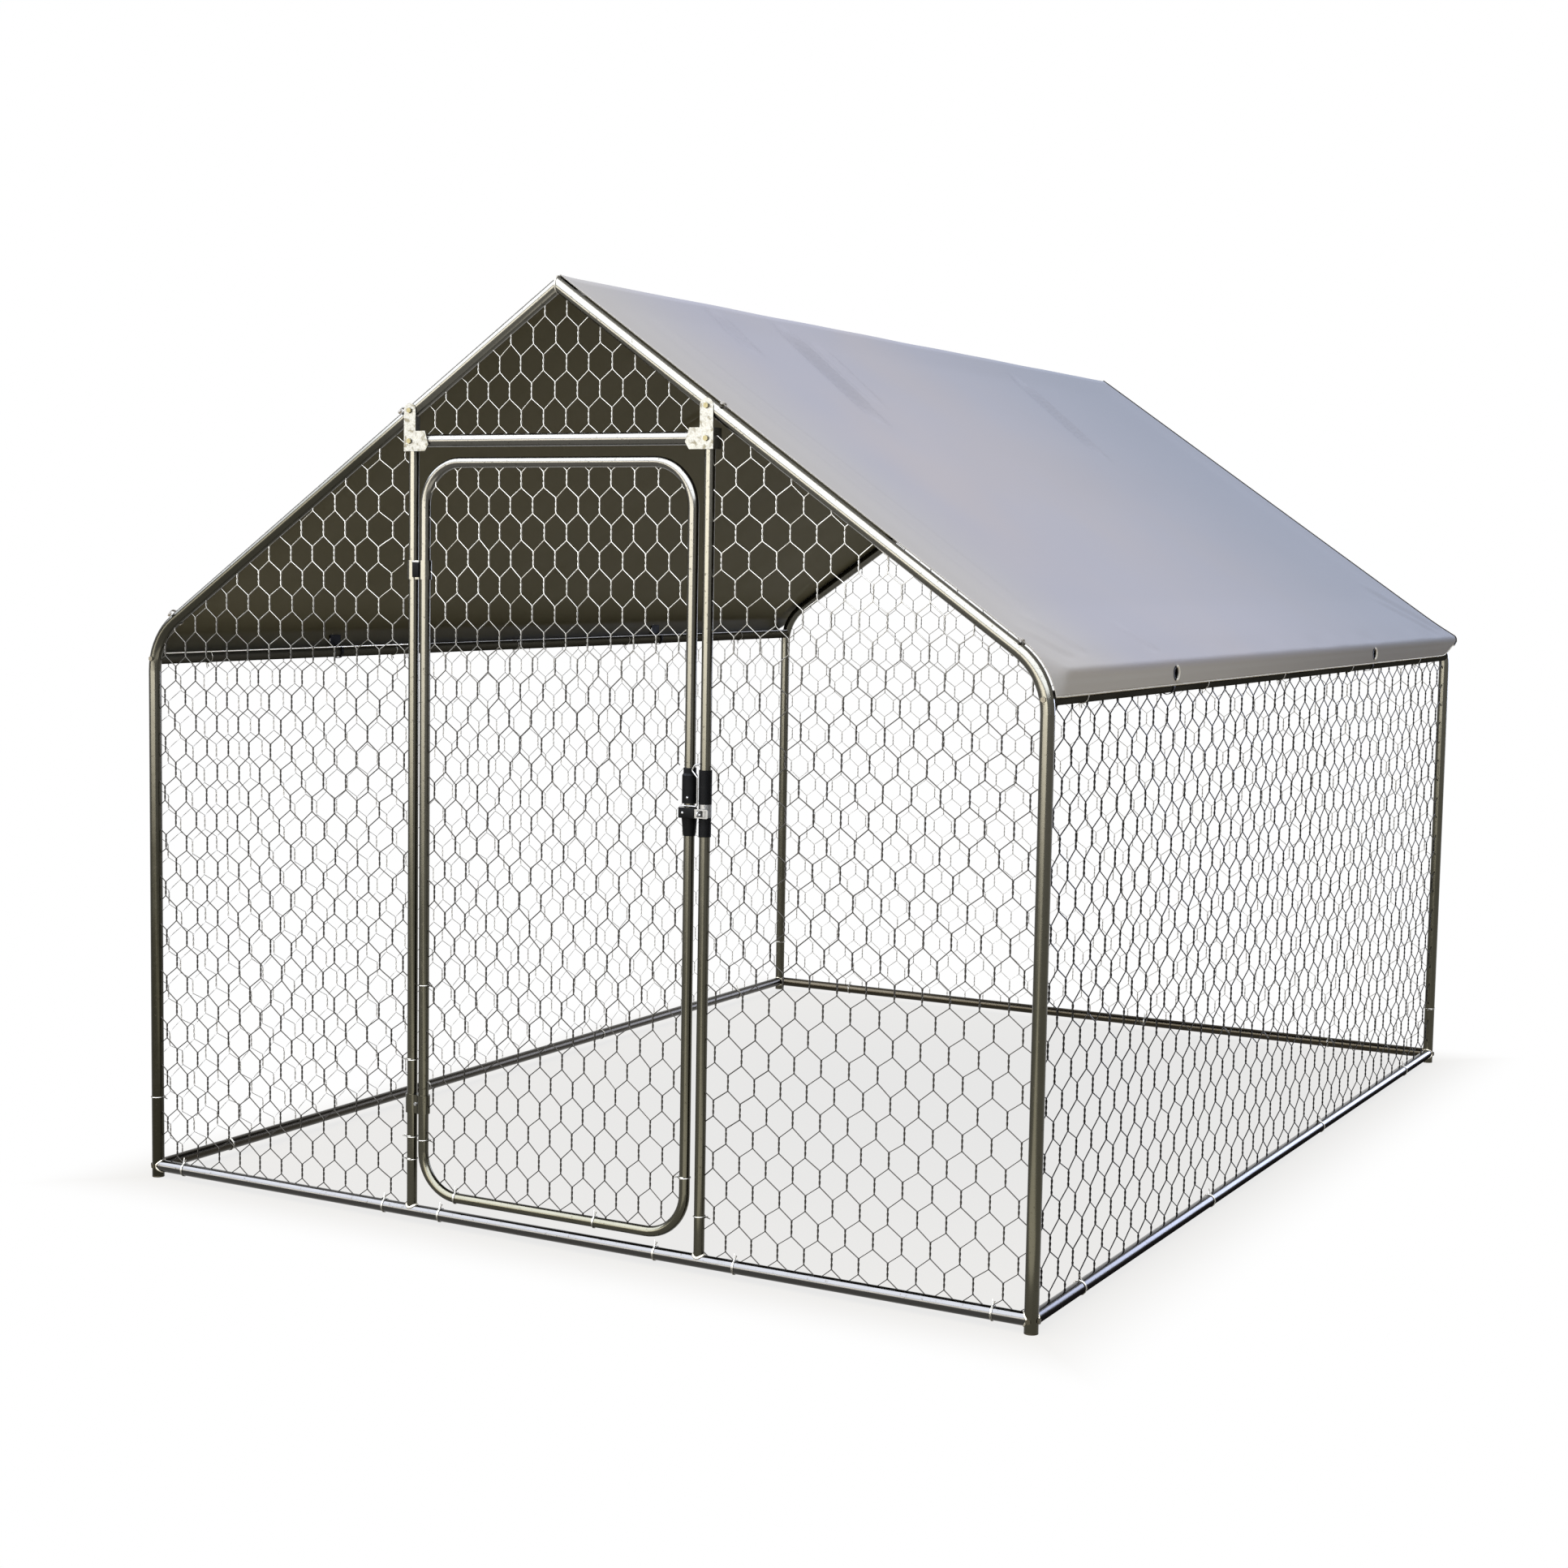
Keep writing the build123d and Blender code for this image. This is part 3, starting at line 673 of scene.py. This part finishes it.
def add_net(name, node, body, wires, place, ties, radius=wire_r, finish=net_zinc):
    """Make a panel of netting, in place of its plain solid, and its ties."""
    placed = [[place(point) for point in wire] for wire in wires]
    net = wire_piece(name, placed, radius, finish)
    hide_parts(node)
    pieces = [net]
    if ties:
        pieces.append(wire_piece(f"{node}_ties", ties, wire_r, tie_zinc, 1))
    for piece in pieces:
        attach(piece, body)


base_edge = (0.0, -1.0, -base_z)

# Side nets, with a selvedge wire that lies against the eave rail
side_edges = [(1.0, 0.0, rear_y), (-1.0, 0.0, -front_y), (0.0, 1.0, eave_z), base_edge]
for name, place, seed, sign, radius, finish in (
    ("left", left_place, 3, -1, left_wire_r, pale_net_zinc),
    ("right", right_place, 5, 1, right_wire_r, dark_net_zinc),
):
    wires = net_wires((front_y, base_z), (rear_y, eave_z), side_mesh, side_edges, [], seed)
    ties = [tie_loop(Vector((sign * post_x, y, base_z)), back, up, rail_r) for y in side_base_ties]
    ties += [tie_loop(Vector((sign * eave_x, y, eave_z)), back, -up, rail_r) for y in side_eave_ties]
    ties.append(tie_loop(Vector((sign * post_x, rear_y, rear_post_tie)), up, -back, post_r))
    add_net(f"{name}_net_wire", f"{name}_net", "frame", wires, place, ties, radius, finish)
    edge_x = sign * (eave_x - sqrt((rail_r + selvedge_r) ** 2 - selvedge_lift**2))
    edge_z = eave_z + selvedge_lift
    edge_ends = [Vector((edge_x, front_y + post_r, edge_z)), Vector((edge_x, rear_y - post_r, edge_z))]
    # The selvedge's bright tone is a painted highlight along the eave rail.
    selvedge = wire_piece(f"{name}_net_selvedge", [edge_ends], selvedge_r, edge_highlight_zinc, 1)
    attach(selvedge, "frame")

# Rear net
rear_edges = [base_edge, *roof_edges(1), *roof_edges(-1)]
wires = net_wires((-post_x, base_z), (post_x, peak_z), rear_mesh, rear_edges, [], 11)
ties = [tie_loop(Vector((x, rear_y, base_z)), right, up, rail_r) for x in rear_base_ties]
add_net("rear_net_wire", "rear_net", "frame", wires, rear_place, ties, rear_wire_r, pale_net_zinc)

# Front nets beside the door
hinge_low_x = -door_post_x - hinge_reach
hinge_gaps = [(hinge_low_x, z - hinge_half, -door_post_x, z + hinge_half) for z in hinge_places]
for name, side, low_x, place, notches, base_ties, post_ties, seed in (
    ("left", -1, -post_x, hinge_side_place, hinge_gaps, left_base_ties, left_post_ties, 17),
    ("right", 1, door_post_x, front_place, [], right_base_ties, right_post_ties, 19),
):
    edges = [base_edge, *roof_edges(side), (-side, 0.0, -door_post_x)]
    high = (low_x + post_x - door_post_x, peak_z)
    wires = net_wires((low_x, base_z + front_row), high, front_mesh, edges, notches, seed)
    ties = [tie_loop(Vector((x, front_y, base_z)), right, up, rail_r) for x in base_ties]
    for z in post_ties:
        ties.append(tie_loop(Vector((side * door_post_x, front_y, z)), up, right * side, door_r))
    if name == "left":
        ties.append(tie_loop(Vector((-post_x, front_y, corner_post_tie)), up, right, post_r))
    add_net(f"front_{name}_net_wire", f"front_{name}_net", "frame", wires, place, ties)

# Gable net over the lintel
gable_edges = [(0.0, -1.0, -lintel_z), (1.0, 0.0, door_post_x), (-1.0, 0.0, door_post_x)]
gable_edges += [roof_edges(1)[2], roof_edges(-1)[2]]
gable_low = (-door_post_x, lintel_z + front_row)
wires = net_wires(gable_low, (door_post_x, peak_z), gable_mesh, gable_edges, [], 23)
add_net("gable_net_wire", "gable_net", "frame", wires, front_place, [], gable_wire_r)

# Door net, with slanted corners and cut clear of the turning grip
door_corner = 0.09
slant = sqrt(0.5)
door_edges = [(1.0, 0.0, door_right), (-1.0, 0.0, -door_left)]
door_edges += [(0.0, 1.0, door_top), (0.0, -1.0, -door_bottom)]
for side, edge_x in ((-1, door_left), (1, door_right)):
    for way, edge_z in ((-1, door_bottom), (1, door_top)):
        limit = slant * (side * edge_x + way * edge_z - 2 * door_corner) + door_corner
        door_edges.append((side * slant, way * slant, limit))
latch_notch = (door_right - grip_notch, grip_low - grip_gap, door_right, block_high.z + grip_gap)
net_low = (door_left, door_bottom + door_row)
wires = net_wires(net_low, (door_right, door_top), gable_mesh, door_edges, [latch_notch], 29)
ties = [tie_loop(Vector((x, front_y, door_bottom)), right, up, door_r) for x in door_bottom_ties]
ties += [tie_loop(Vector((door_right, front_y, z)), up, -right, door_r) for z in door_right_ties]
ties += [tie_loop(Vector((door_left, front_y, z)), up, right, door_r) for z in door_left_ties]
add_net("door_net_wire", "door_net", "door", wires, front_place, ties)

# Welds where the rails meet the posts, and at the ridge
bead_r = 0.0022
post_bead_r = bead_r * 1.5
bead_stand = 0.0004
bead_swell = 0.0008
ridge_swell = 0.06
bead_turns = [2 * pi * step / 28 for step in range(28)]


def weld_ring(point, along, radius, post_radius):
    """A bead round a tube's end, along the line where it meets an upright."""
    side = along.cross(up)
    path = []
    for step, turn in enumerate(bead_turns):
        across = radius * cos(turn)
        depth = sqrt(max(post_radius**2 - across**2, 0.0))
        swell = bead_swell * noise.noise(Vector((step * 1.7, point.x * 9.0, point.y * 9.0)))
        spot = point + side * across + up * (radius * sin(turn))
        path.append(spot + along * (depth + bead_stand + swell))
    return path


beads = []
for x in (-post_x, post_x):
    for y, inward in ((front_y, back), (rear_y, -back)):
        corner = Vector((x, y, base_z))
        beads.append(weld_ring(corner, right if x < 0 else -right, rail_r, post_r))
        beads.append(weld_ring(corner, inward, rail_r, post_r))
for y in (front_y, rear_y):
    ring = []
    for step, turn in enumerate(bead_turns):
        reach = post_r * (1.0 + ridge_swell * noise.noise(Vector((step * 1.9, y * 5.0, 2.0))))
        ring.append(Vector((0.0, y + reach * cos(turn), peak_z + reach * sin(turn) / cos(pitch))))
    beads.append(ring)
welds = wire_piece("corner_welds", beads, bead_r, weld_zinc, 1, True)
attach(welds, "frame")

post_beads = []
for x in (-door_post_x, door_post_x):
    ring = []
    for step, turn in enumerate(bead_turns):
        off_y = door_r * sin(turn)
        swell = bead_swell * noise.noise(Vector((step * 1.3, x * 11.0, 4.0)))
        bead_z = base_z + sqrt(rail_r**2 - off_y**2) + swell
        ring.append(Vector((x + door_r * cos(turn), front_y + off_y, bead_z)))
    post_beads.append(ring)
post_welds = wire_piece("door_post_welds", post_beads, post_bead_r, weld_zinc, 1, True)
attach(post_welds, "frame")

# Tarpaulin: its section, hems and eyelets
cover_stand = cover_high.x - post_x
ridge_point = peak_z + cover_stand / cos(pitch)
skirt_x = cover_high.x
skirt_z = cover_low.z
corner_z = ridge_point - skirt_x * roof_slope
slope_long = skirt_x / cos(pitch)
crease_radius = 0.011
edge_radius = knee_radius + cover_stand
cover_thick = 0.0009
hem_wide = 0.024
hem_stand = 0.0005
front_hem_r = 0.0013
rear_hem_r = 0.0026
skirt_hem_r = 0.0018
front_lift = 0.0015
front_turn = 0.06
front_fade = 0.07
eyelet_low, eyelet_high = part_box("cover_eyelets")
eyelet_z = (eyelet_low.z + eyelet_high.z) / 2
eyelet_r = (eyelet_high.z - eyelet_low.z) / 2
eyelet_ys = [eyelet_low.y + eyelet_r, eyelet_high.y - eyelet_r]
eyelet_cut = 0.0107
eyelet_flat = 0.018
eyelet_fade = 0.03

# Tarpaulin: how it hangs between the tubes, and its drawn-out rear corners
arch_hold = 0.02
arch_fade = 0.09
ridge_fade = 0.10
slope_end = 1.26
slope_fade = 0.12
skirt_start = 1.27
skirt_fade = 0.05
sag_deep = 0.004
wave_tall = 0.0035
crumple_tall = 0.0012
skirt_wave = 0.0026
corner_tip_z = corner_z - 0.012
corner_long = 0.16
tip_long = 0.034
tip_tall = 0.035
corner_draw = 0.7

# Tarpaulin: steps along the run, down each slope and round the eaves
along_steps = 240
slope_steps = 66
eave_steps = 24
slope_share = 0.92
eave_share = 0.08


def cover_section(run, crease):
    """Place and outward direction on the right half of the section, by run from the ridge."""
    tangent = crease * tan(bend_turn / 2)
    flat = slope_long - tangent
    arc = crease * bend_turn
    centre_x = skirt_x - crease
    centre_z = corner_z - tangent
    if run <= flat:
        x = run * cos(pitch)
        return x, ridge_point - x * roof_slope, sin(pitch), cos(pitch)
    if run <= flat + arc:
        turn = bend_turn - (run - flat) / crease
        return centre_x + crease * cos(turn), centre_z + crease * sin(turn), cos(turn), sin(turn)
    return skirt_x, centre_z - (run - flat - arc), 1.0, 0.0


def half_section(crease, lowest):
    """Run from the ridge to a height on the skirt, or on the bend if the skirt starts below it."""
    tangent = crease * tan(bend_turn / 2)
    centre_z = corner_z - tangent
    turned = asin(max(0.0, min(1.0, (lowest - centre_z) / crease)))
    return slope_long - tangent + crease * (bend_turn - turned) + max(0.0, centre_z - lowest)


# Creases of the sheet: side, start and end as run from the ridge and y, height and width
cover_creases = (
    (1, (0.03, -0.895), (0.20, -0.945), 0.0075, 0.011),
    (1, (0.04, -0.600), (0.45, -0.735), 0.0130, 0.013),
    (1, (0.10, -0.520), (0.36, -0.600), 0.0060, 0.012),
    (1, (0.08, 0.700), (0.50, 0.510), 0.0110, 0.013),
    (1, (0.10, -1.270), (1.18, -1.250), 0.0040, 0.020),
    (1, (1.20, -1.400), (1.30, -1.330), 0.0036, 0.014),
    (1, (1.16, -1.300), (1.29, -1.250), 0.0036, 0.014),
    (1, (1.21, -0.900), (1.30, -0.870), 0.0030, 0.014),
    (1, (1.05, 1.330), (1.30, 1.480), 0.0050, 0.018),
    (1, (1.12, 1.250), (1.31, 1.400), 0.0042, 0.016),
    (-1, (0.05, -0.300), (0.46, -0.420), 0.0100, 0.013),
    (-1, (0.07, 0.620), (0.40, 0.760), 0.0090, 0.013),
    (-1, (1.10, 1.340), (1.30, 1.470), 0.0046, 0.018),
)


def crease_marks(side, run, y):
    """Height and shade that each crease gives to a point of the sheet."""
    marks = []
    for crease_side, start, end, tall, width in cover_creases:
        here = Vector((run, y)) - Vector(start)
        line = Vector(end) - Vector(start)
        share = here.dot(line) / line.length_squared
        if crease_side != side or not 0.0 < share < 1.0:
            continue
        line.normalize()
        off = (here.x * line.y - here.y * line.x) / width
        fade = 1.0 - (2.0 * share - 1.0) ** 4
        fold = exp(-(off**2)) - 0.7 * exp(-((off - 1.7) ** 2))
        marks.append((tall * fade * fold, tall / 0.01 * fade * exp(-((off - 0.9) ** 2))))
    return marks


def cover_relief(side, run, total, y, z):
    """How far the sheet stands off its plain section."""
    free = eased((min(y - front_y, rear_y - y) - arch_hold) / arch_fade)
    down = min(1.0, run / ridge_fade) * min(1.0, max(0.0, (slope_end - run) / slope_fade))
    lift = -sag_deep * free * down
    lift += wave_tall * free * down * noise.noise(Vector((side * run * 1.6, y * 1.1, 2.0)))
    lift += crumple_tall * free * noise.noise(Vector((side * run * 5.0, y * 4.0, 6.0)))
    hang = eased((run - skirt_start) / skirt_fade)
    lift += skirt_wave * free * hang * noise.noise(Vector((side * 3.0, y * 6.5, 9.0)))
    lift += sum(tall for tall, shade in crease_marks(side, run, y))
    for eyelet_y in eyelet_ys:
        lift *= eased((Vector((y - eyelet_y, z - eyelet_z)).length - eyelet_flat) / eyelet_fade)
    lift += front_lift * (1.0 - eased((y - cover_low.y) / front_fade))
    if min(y - cover_low.y, cover_high.y - y, total - run) < hem_wide:
        lift += hem_stand
    return lift


cover_long = cover_high.y - cover_low.y
cover_ys = [cover_low.y + cover_long * step / along_steps for step in range(along_steps + 1)]
cover_shares = [slope_share * step / slope_steps for step in range(slope_steps)]
cover_shares += [slope_share + eave_share * step / eave_steps for step in range(eave_steps + 1)]
half_cut = half_section(crease_radius, skirt_z)
for way in (-1, 1):
    cover_ys += [eyelet_y + way * eyelet_cut for eyelet_y in eyelet_ys]
    cover_shares.append(half_section(crease_radius, eyelet_z + way * eyelet_cut) / half_cut)
cover_ys.sort()
cover_shares.sort()
cover_columns = [-share for share in reversed(cover_shares[1:])] + cover_shares

cloth = bmesh.new()
cloth_uv = cloth.loops.layers.uv.new("cloth")
crease_shade_layer = cloth.verts.layers.float.new("crease")
flat_places = {}
cover_rows = []
for y in cover_ys:
    crease = edge_radius + (crease_radius - edge_radius) * eased((y - cover_low.y) / front_turn)
    corner_share = eased((y - cover_high.y + corner_long) / corner_long)
    total = half_section(crease, skirt_z)
    row = []
    for column in cover_columns:
        side = 1 if column >= 0 else -1
        run = abs(column) * total
        x, z, out_x, out_z = cover_section(run, crease)
        lift = cover_relief(side, run, total, y, z)
        tip = tip_long * corner_share * exp(-(((z - corner_tip_z) / tip_tall) ** 2))
        drawn = corner_draw * corner_share**2 * max(0.0, corner_tip_z - z)
        vert = cloth.verts.new((side * (x + out_x * lift), y + tip, z + out_z * lift + drawn))
        vert[crease_shade_layer] = sum(shade for tall, shade in crease_marks(side, run, y))
        flat_places[vert] = (column * total, y)
        row.append(vert)
    cover_rows.append(row)
for near_row, far_row in zip(cover_rows, cover_rows[1:]):
    for step in range(len(cover_columns) - 1):
        corners = (near_row[step], near_row[step + 1], far_row[step + 1], far_row[step])
        centre = (corners[0].co + corners[2].co) / 2
        off_y = min(abs(centre.y - eyelet_y) for eyelet_y in eyelet_ys)
        if abs(centre.z - eyelet_z) < eyelet_cut and off_y < eyelet_cut:
            continue
        face = cloth.faces.new(corners)
        face.smooth = True
        for loop in face.loops:
            loop[cloth_uv].uv = flat_places[loop.vert]
front_hem = [vert.co.copy() for vert in cover_rows[0]]
rear_hem = [vert.co.copy() for vert in cover_rows[-1]]
side_hems = [[row[end].co.copy() for row in cover_rows] for end in (0, -1)]
cover = shape_piece("tarpaulin_cover", cloth, cover_grey, cover_lining)
thickness = cover.modifiers.new("thickness", "SOLIDIFY")
thickness.thickness = cover_thick
thickness.offset = -1.0
thickness.material_offset = 1
thickness.material_offset_rim = 1
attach(cover, "frame")
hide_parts("roof_cover")
2 * half_cut
front_edge = wire_piece("cover_front_hem", [front_hem], front_hem_r, cover_piping, 1)
# The rear hem is a dark cord: painted shade along the cover's rear edge.
rear_edge = wire_piece("cover_rear_hem", [rear_hem], rear_hem_r, hem_shade, 1)
skirt_edges = wire_piece("cover_skirt_hems", side_hems, skirt_hem_r, hem_thread, 1)
for piece in (front_edge, rear_edge, skirt_edges):
    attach(piece, "frame")

# Lips round the rear half of the eyelets, and the strap ends that close them from inside
lip_r = 0.0029
lip_stand = 0.0012
lip_swell = 0.0022
lip_wide = 0.0105
lip_tall = 0.0145
strap_in = 0.0045
strap_shift = 0.008
strap_size = Matrix.Diagonal((0.0012, 0.0400, 0.0240, 1.0))
lips = []
strap_ends = bmesh.new()
for side in (-1, 1):
    for eyelet_y in eyelet_ys:
        lip = []
        for step in range(17):
            turn = pi * (step / 16 - 0.5)
            lip_x = side * (skirt_x + lip_stand + lip_swell * cos(turn))
            lip.append(Vector((lip_x, eyelet_y + lip_wide * cos(turn), eyelet_z + lip_tall * sin(turn))))
        lips.append(lip)
        strap_place = Matrix.Translation((side * (skirt_x - strap_in), eyelet_y + strap_shift, eyelet_z))
        bmesh.ops.create_cube(strap_ends, size=1.0, matrix=strap_place @ strap_size)
add_piece("eyelet_strap_ends", strap_ends, strap_black, "frame")
eyelet_lips = wire_piece("eyelet_lips", lips, lip_r, lip_white, 1)
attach(eyelet_lips, "frame")

# Cable ties that hold the cover's front edge on the rafters
cable_tie_xs = (0.378, 1.020)
strand_r = 0.0011
strand_gap = 0.0018
band_stand = 0.0018
band_bulge = 0.0065
tie_head_size = Matrix.Diagonal((0.0085, 0.0075, 0.0055, 1.0))
tie_head_stand = 0.006
tie_head_lean = -0.9
tie_head_round = 0.001
tie_bands = []
tie_heads = bmesh.new()
for side in (-1, 1):
    down = Vector((side * cos(pitch), 0.0, -sin(pitch)))
    out = Vector((side * sin(pitch), 0.0, cos(pitch)))
    for x in cable_tie_xs:
        point = Vector((side * x, front_y, rafter_z(x)))
        for strand in (-strand_gap, 0.0, strand_gap):
            ring = []
            for step in range(24):
                turn = (pi + 0.5) * step / 23 - 0.5
                reach = post_r + band_stand + band_bulge * max(0.0, cos(turn)) ** 2
                ring.append(point + down * strand + out * (reach * cos(turn)) + back * (reach * sin(turn)))
            tie_bands.append(ring)
        axes = Matrix((down, back, out)).transposed().to_4x4()
        lean = Matrix.Rotation(tie_head_lean, 4, down)
        lifted = Matrix.Translation(out * (post_r + tie_head_stand))
        seat = Matrix.Translation(point) @ lean @ lifted @ axes
        bmesh.ops.create_cube(tie_heads, size=1.0, matrix=seat @ tie_head_size)
bands = wire_piece("cover_tie_bands", tie_bands, strand_r, cover_piping)
round_edges(tie_heads, tie_head_round, 2)
heads = shape_piece("cover_tie_heads", tie_heads, cover_piping)
for piece in (bands, heads):
    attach(piece, "frame")

# Moulded head of the latch round its tongue, and the head's rivet
head_left = 0.0145
head_right = 0.0220
head_wall = 0.0016
head_over = 0.0015
head_gap = 0.001
head_round = 0.0012
head_rivet_in = 0.0048
head_rivet_r = 0.0028
tongue_low, tongue_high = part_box("latch_tongue")
head_front = tongue_low.y - head_wall
head_low = (door_right - head_left, head_front, tongue_low.z - head_over)
head_high = (door_right + head_right, front_y - door_r - head_gap, tongue_high.z + head_over)
head = rounded_block(head_low, head_high, head_round)
add_piece("latch_head", head, latch_black, "latch")
rivet_place = Vector((door_right - head_rivet_in, head_front, middle("latch_tongue").z))
add_piece("latch_head_rivet", rivet_head(rivet_place, head_rivet_r), latch_zinc, "latch")

# Rivet of the latch's fixed block
block_rivet_in = 0.0031
block_rivet_sunk = 0.0004
block_rivet_up = 0.012
block_rivet_r = 0.0026
rivet_z = block_low.z + block_rivet_up
rivet_place = Vector((door_right + block_rivet_in, block_low.y + block_rivet_sunk, rivet_z))
add_piece("latch_block_rivet", rivet_head(rivet_place, block_rivet_r), latch_zinc, "door")

# Block and cap of the upper hinge
hinge_z = hinge_places[1]
hinge_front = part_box("upper_hinge_front_shell")[0].y
hinge_back = front_y - 0.002
hinge_x = (door_left - door_post_x) / 2
hinge_block_half = 0.0085
hinge_block_tall = 0.0155
hinge_block_stand = 0.0015
hinge_block_round = 0.0015
hinge_cap_half = 0.0090
hinge_cap_low = 0.0150
hinge_cap_high = 0.0190
hinge_cap_stand = 0.0020
hinge_cap_round = 0.0010
block = rounded_block(
    (hinge_x - hinge_block_half, hinge_front - hinge_block_stand, hinge_z - hinge_block_tall),
    (hinge_x + hinge_block_half, hinge_back, hinge_z + hinge_block_tall),
    hinge_block_round,
)
add_piece("upper_hinge_block", block, latch_black, "door")
cap = rounded_block(
    (hinge_x - hinge_cap_half, hinge_front - hinge_cap_stand, hinge_z + hinge_cap_low),
    (hinge_x + hinge_cap_half, hinge_back, hinge_z + hinge_cap_high),
    hinge_cap_round,
)
add_piece("upper_hinge_cap", cap, latch_zinc, "door")


def seen_directly(start):
    """1 for rays that show the background: to the camera, off metal or through glass."""
    to_camera = start.node("ShaderNodeLightPath", {}, {}, "Is Camera Ray")
    off_metal = start.node("ShaderNodeLightPath", {}, {}, "Is Glossy Ray")
    through = start.node("ShaderNodeLightPath", {}, {}, "Is Transmission Ray")
    return (to_camera + off_metal + through).between(0.0, 1.0)


# Floor: white to the eye, and darker beneath the run: partly the run's real shadow and partly painted
# shadow over its footprint
floor_white, floor_shader, floor_place = new_finish("floor_white")
floor_tone = floor_place.noise(0.6, 2.0).blend(colour(172, 160, 138), colour(178, 166, 144))
floor_tone.feed(floor_shader, "Base Color")
floor_shader.inputs["Roughness"].default_value = 0.9
floor_shader.inputs["Specular IOR Level"].default_value = 0.0
floor_axes = floor_place.node("ShaderNodeVectorMath", {"operation": "ABSOLUTE"}, {0: floor_place})
beside = floor_place.sum("MAXIMUM", floor_axes.axis("X") - post_x, floor_axes.axis("Y") - rear_y)
# Painted shadow: within the run's footprint less white is shown, so the floor reads darker there.
floor_shown = (beside.between(-0.05, 0.25) * 0.22 + 0.78) * seen_directly(floor_place)
floor_lit = Shade(floor_white.node_tree, floor_shader.outputs[0])
floor_glow = floor_place.node("ShaderNodeEmission", {}, {"Color": white})
floor_mix = floor_place.node("ShaderNodeMixShader", {}, {0: floor_shown, 1: floor_lit, 2: floor_glow})
floor_mix.feed(floor_white.node_tree.nodes["Material Output"], "Surface")
ground = bmesh.new()
bmesh.ops.create_grid(ground, x_segments=1, y_segments=1, size=60.0)
floor = shape_piece("floor", ground, floor_white)

# Sky: a soft fill for the object and white to the eye
world = bpy.data.worlds.new("studio")
world.use_nodes = True
bpy.context.scene.world = world
sky_tree = world.node_tree
sky = Shade(sky_tree, sky_tree.nodes["Background"].outputs[0])
sky_tree.nodes["Background"].inputs["Color"].default_value = (0.92, 0.95, 1.0, 1.0)
sky_tree.nodes["Background"].inputs["Strength"].default_value = 0.40
sky_white = sky.node("ShaderNodeBackground", {}, {"Color": white, "Strength": 1.0})
sky_mix = sky.node("ShaderNodeMixShader", {}, {0: seen_directly(sky), 1: sky, 2: sky_white})
sky_mix.feed(sky_tree.nodes["World Output"], "Surface")


def shining(direction):
    """Turn of a lamp that shines in a direction."""
    return direction.to_track_quat("-Z", "Y").to_euler()


def add_sun(name, strength, spread_angle, toward):
    """A soft light from far away."""
    lamp = bpy.data.lights.new(name, "SUN")
    lamp.energy = strength
    lamp.angle = spread_angle
    new_object(name, lamp).rotation_euler = shining(Vector(toward))


def add_panel(name, place, target, size, glow, tint):
    """A bright panel that the tubes mirror."""
    lamp = bpy.data.lights.new(name, "AREA")
    lamp.shape = "RECTANGLE"
    lamp.size, lamp.size_y = size
    lamp.energy = glow * pi * size[0] * size[1]
    lamp.color = tint
    holder = new_object(name, lamp)
    holder.visible_diffuse = False
    holder.visible_camera = False
    holder.location = place
    holder.rotation_euler = shining(Vector(target) - Vector(place))


add_sun("sky_light", 2.2, 1.4, (0.15, 0.35, -1.0))
add_panel("front_sky", (0.0, -9.2, 6.0), (0.0, -9.2, 0.0), (30.0, 15.4), 15.0, (0.78, 0.84, 1.0))
add_panel("low_wall", (-2.4, -8.9, 0.55), (-2.4, 0.0, 0.55), (13.0, 0.9), 7.0, (1.0, 0.98, 0.95))
add_panel("high_wall", (-2.4, -8.9, 1.8), (-2.4, 0.0, 1.8), (13.0, 1.6), 12.0, (1.0, 0.98, 0.95))
add_panel("front_ground", (0.9, -4.0, 0.012), (0.9, -4.0, 1.0), (1.4, 4.4), 2.4, (1.0, 0.98, 0.94))
add_panel("rear_sky", (5.0, 11.5, 3.2), (1.0, 0.0, 0.6), (5.0, 5.6), 10.0, (0.66, 0.74, 1.0))

# Camera
camera_place = Vector((2.8089, -5.6309, 1.4409))
turn_left = 0.5007
tip_down = 0.0923
roll = 0.0171
camera_data = bpy.data.cameras.new("camera")
camera_data.lens = 56.06
camera_data.sensor_width = 36.0
camera = new_object("camera", camera_data)
level = Matrix.Rotation(turn_left, 4, "Z") @ Matrix.Rotation(pi / 2 - tip_down, 4, "X")
aim = level @ Matrix.Rotation(roll, 4, "Z")
camera.matrix_world = Matrix.Translation(camera_place) @ aim
bpy.context.scene.camera = camera
bpy.context.scene.view_settings.view_transform = "Standard"
